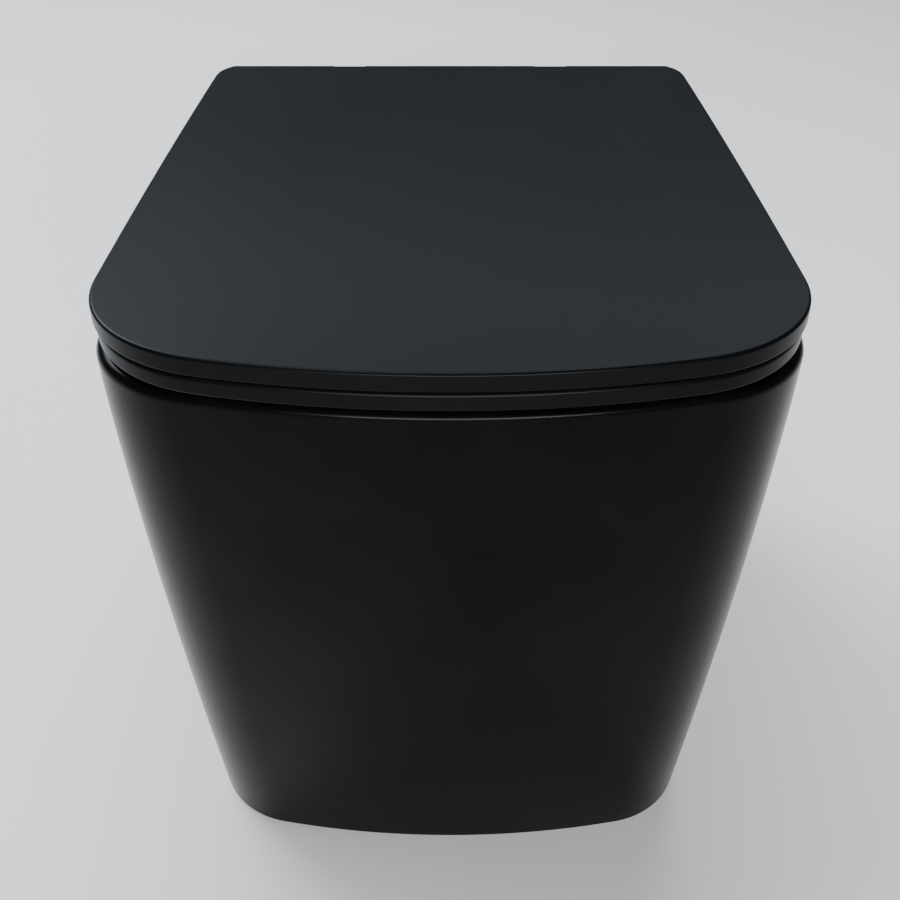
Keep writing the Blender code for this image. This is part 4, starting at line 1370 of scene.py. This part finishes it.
# ---------------------------------------------------------------- floor fixing
@dataclass
class FloorFixing:
    """Angle bracket inside the skirt, its floor screw, and the side screw with its cover cap."""

    side: Side
    finishes: Finishes
    sheet: float = 0.004

    def build_bracket(self) -> None:
        """Pressed steel angle with a rounded bend and a tapped boss."""
        name, sign, stainless = self.side.label, self.side.sign, self.finishes.stainless
        low, high, (_, y, _) = limits(f"floor_bracket_{name}")
        screw_x = limits(f"floor_screw_{name}")[2][0]
        cap_z = limits(f"screw_cap_{name}")[2][2]
        inner, outer = (low.x, high.x) if sign > 0 else (high.x, low.x)
        thick = sign * self.sheet
        corners = [(inner, low.z), (outer, low.z), (outer, high.z), (outer - thick, high.z),
                   (outer - thick, low.z + self.sheet), (inner, low.z + self.sheet)]
        path = rounded(corners, [0.0005, 0.004, 0.0015, 0.0015, 0.002, 0.0005], closed=True, steps=6)
        grid = np.stack([np.column_stack([path[:, 0], np.full(len(path), end), path[:, 1]])
                         for end in (low.y, high.y)])
        bracket = grid_object(f"floor_bracket_{name}_angle", grid, stainless)
        boss = rounded([(0, 0), (0.006, 0), (0.006, 0.010), (0, 0.010)], [0, 0.0008, 0, 0])
        combine(bracket, [turned("boss", boss, stainless, along_x(outer - 3 * thick, y, cap_z, sign), 48)], Cut.JOIN)
        combine(bracket, [rod("tapping", 0.0033, 0.04, stainless, along_x(outer - sign * 0.03, y, cap_z, sign)),
                          rod("floor_hole", 0.0045, 0.01, stainless, upright(screw_x, y, -0.003))], Cut.TAKE_AWAY)
        ease_edges(bracket, 0.0004)
        finish_piece(bracket, "root", f"floor_bracket_{name}")

    def build_floor_screw(self) -> None:
        """Hexagon-headed floor screw with its washer."""
        name, stainless = self.side.label, self.finishes.stainless
        low, high, (x, y, _) = limits(f"floor_washer_{name}")
        axis, radius, seat = upright(x, y, 0), (high.x - low.x) / 2, high.z + GAP
        fit_turned(f"floor_washer_{name}", "disc",
                   [(0.0040, low.z), (radius, low.z), (radius, high.z), (0.0040, high.z)], [0.0002] * 4,
                   stainless, axis, closed=True)
        low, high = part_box(f"floor_screw_{name}")
        thread, head = 0.0036, 0.0066
        shank = [(0, low.z), (0.0034, low.z), (thread, low.z + 0.0004), (thread, seat), (head, seat),
                 (head, seat + 0.0006), (0, seat + 0.0006)]
        hexagon = [(0, seat + 0.0003), (head, seat + 0.0003), (head, high.z - 0.0008), (0.0056, high.z), (0, high.z)]
        screw = turned(f"floor_screw_{name}_hex", shank, stainless, axis, 48)
        combine(screw, [turned("hexagon", hexagon, stainless, axis, 6)], Cut.JOIN)
        finish_piece(screw, "root", f"floor_screw_{name}")

    def build_side_screw(self) -> None:
        """Side screw with its flanged nylon sleeve and the domed cover cap."""
        name, sign, finishes = self.side.label, self.side.sign, self.finishes
        _, y, z = limits(f"side_sleeve_{name}")[2]
        start, length = run_x(f"side_sleeve_{name}", sign)
        outline = [(0.0034, 0), (0.0056, 0), (0.0056, length - 0.0012), (0.0092, length - 0.0012),
                   (0.0092, length), (0.0034, length)]
        fit_turned(f"side_sleeve_{name}", "bush", outline, [0.0003] * 6, finishes.white_nylon,
                   along_x(start, y, z, sign), 48, closed=True)

        start, length = run_x(f"side_screw_{name}", sign)
        thread = [(0.0028 - 0.0003 * (n % 2), 0.0006 * n) for n in range(1, 34)]
        outline = [(0, 0), *thread, (0.0028, length - 0.0025), (0.0060, length - 0.0025), (0.0060, length - 0.0008),
                   (0.0045, length), (0.0016, length), (0.0016, length - 0.0014), (0, length - 0.0014)]
        fit_turned(f"side_screw_{name}", "pan_head", outline, [0] * len(outline), finishes.stainless,
                   along_x(start, y, z, sign), 40)

        low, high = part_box(f"screw_cap_{name}")
        start, length = run_x(f"screw_cap_{name}", sign)
        radius = (high.z - low.z) / 2
        outline = [(0, length), (radius - 0.0015, length - 0.0006), (radius, length - 0.0022), (radius, 0),
                   (radius - 0.0018, 0), (radius - 0.0018, length - 0.0026), (radius - 0.0027, length - 0.0020),
                   (0, length - 0.0016)]
        fit_turned(f"screw_cap_{name}", "dome", outline, [0, 0.004, 0.002, 0.0003, 0.0003, 0.0004, 0.001, 0],
                   finishes.black_nylon, along_x(start, y, z, sign))

    def build(self) -> None:
        """Makes the whole side's fixing."""
        self.build_bracket()
        self.build_floor_screw()
        self.build_side_screw()


# ---------------------------------------------------------------- studio
@dataclass
class Softbox:
    """Rectangular soft light that looks at a point."""

    name: str
    place: tuple[float, float, float]
    target: tuple[float, float, float]
    size: tuple[float, float]
    power: float
    colour: str = "#ffffff"

    def build(self) -> None:
        """Makes the light."""
        lamp = bpy.data.lights.new(self.name, "AREA")
        lamp.shape = "RECTANGLE"
        lamp.size, lamp.size_y = self.size
        lamp.energy = self.power
        lamp.color = linear(self.colour)[:3]
        obj = bpy.data.objects.new(self.name, lamp)
        bpy.context.scene.collection.objects.link(obj)
        obj.location = self.place
        aim = Matrix.Translation(self.target).translation - obj.location
        obj.rotation_euler = aim.to_track_quat("-Z", "Y").to_euler()


@dataclass
class Studio:
    """Pale floor, soft light and the camera, which looks 35 degrees down from close in front."""

    floor_size: float = 60.0
    camera_ahead: float = 0.431        # in front of the lid's front edge
    camera_above: float = 0.2611       # over the top of the lid
    pitch_deg: float = 35.0
    lens_mm: float = 45.56
    sensor_mm: float = 36.0
    sky: str = "#f4f6f8"
    sky_strength: float = 0.14

    def build_floor(self) -> None:
        """Floor at the object's lowest point: an even grid of quads."""
        steps = np.linspace(-self.floor_size / 2, self.floor_size / 2, 9)
        x, y = np.meshgrid(steps, steps)
        points = np.stack([x, y, np.full_like(x, cad_box[0][2])], axis=2).reshape(-1, 3)
        i, j = np.meshgrid(np.arange(8), np.arange(8), indexing="ij")
        quads = np.stack([i * 9 + j, i * 9 + j + 1, (i + 1) * 9 + j + 1, (i + 1) * 9 + j], axis=2).reshape(-1, 4)
        mesh = bpy.data.meshes.new("studio_floor")
        mesh.from_pydata(points.tolist(), [], quads.tolist())
        mesh.materials.append(PaleFloor().material())
        floor = bpy.data.objects.new("studio_floor", mesh)
        bpy.context.scene.collection.objects.link(floor)

    def build_camera(self) -> None:
        """Camera on the object's mid plane."""
        lid_low, lid_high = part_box("lid")
        camera = bpy.data.cameras.new("camera")
        camera.sensor_width = self.sensor_mm
        camera.lens = self.lens_mm
        camera.clip_start = 0.01
        obj = bpy.data.objects.new("camera", camera)
        bpy.context.scene.collection.objects.link(obj)
        obj.location = (0.0, lid_low.y - self.camera_ahead, lid_high.z + self.camera_above)
        obj.rotation_euler = (math.radians(90 - self.pitch_deg), 0.0, 0.0)
        bpy.context.scene.camera = obj

    def build_light(self) -> None:
        """Even pale surroundings and four soft boxes."""
        world = bpy.data.worlds.new("studio")
        world.use_nodes = True
        set_inputs(world.node_tree.nodes["Background"], {"Color": linear(self.sky), "Strength": self.sky_strength})
        bpy.context.scene.world = world
        cool = "#e4ecf7"
        for softbox in (Softbox("overhead", (-0.2, 0.3, 2.6), (0.0, 0.0, 0.0), (2.6, 0.6), 50.0),
                        Softbox("back_left", (-2.2, 2.2, 2.8), (0.0, 0.0, 0.3), (2.2, 1.8), 160.0, cool),
                        Softbox("back", (0.4, 3.4, 2.9), (0.0, 0.0, 0.4), (4.0, 1.4), 50.0, cool),
                        Softbox("front_strip", (0.1, -3.2, 1.35), (0.0, -0.3, 0.4), (2.2, 0.10), 130.0)):
            softbox.build()

    def build(self) -> None:
        """Sets the whole studio up."""
        self.build_camera()
        self.build_floor()
        self.build_light()


def main() -> None:
    """Builds the studio and every sub-assembly in order."""
    logging.basicConfig(level=logging.INFO, format="%(name)s: %(message)s")
    Studio().build()
    finishes = Finishes.make()
    log.info("materials ready")
    Pan(finishes).build()
    FlushFittings(finishes).build()
    SeatSet(finishes).build()
    for side in Side:
        Hinge(side, finishes).build()
        FloorFixing(side, finishes).build()


if __name__ == "__main__":
    main()
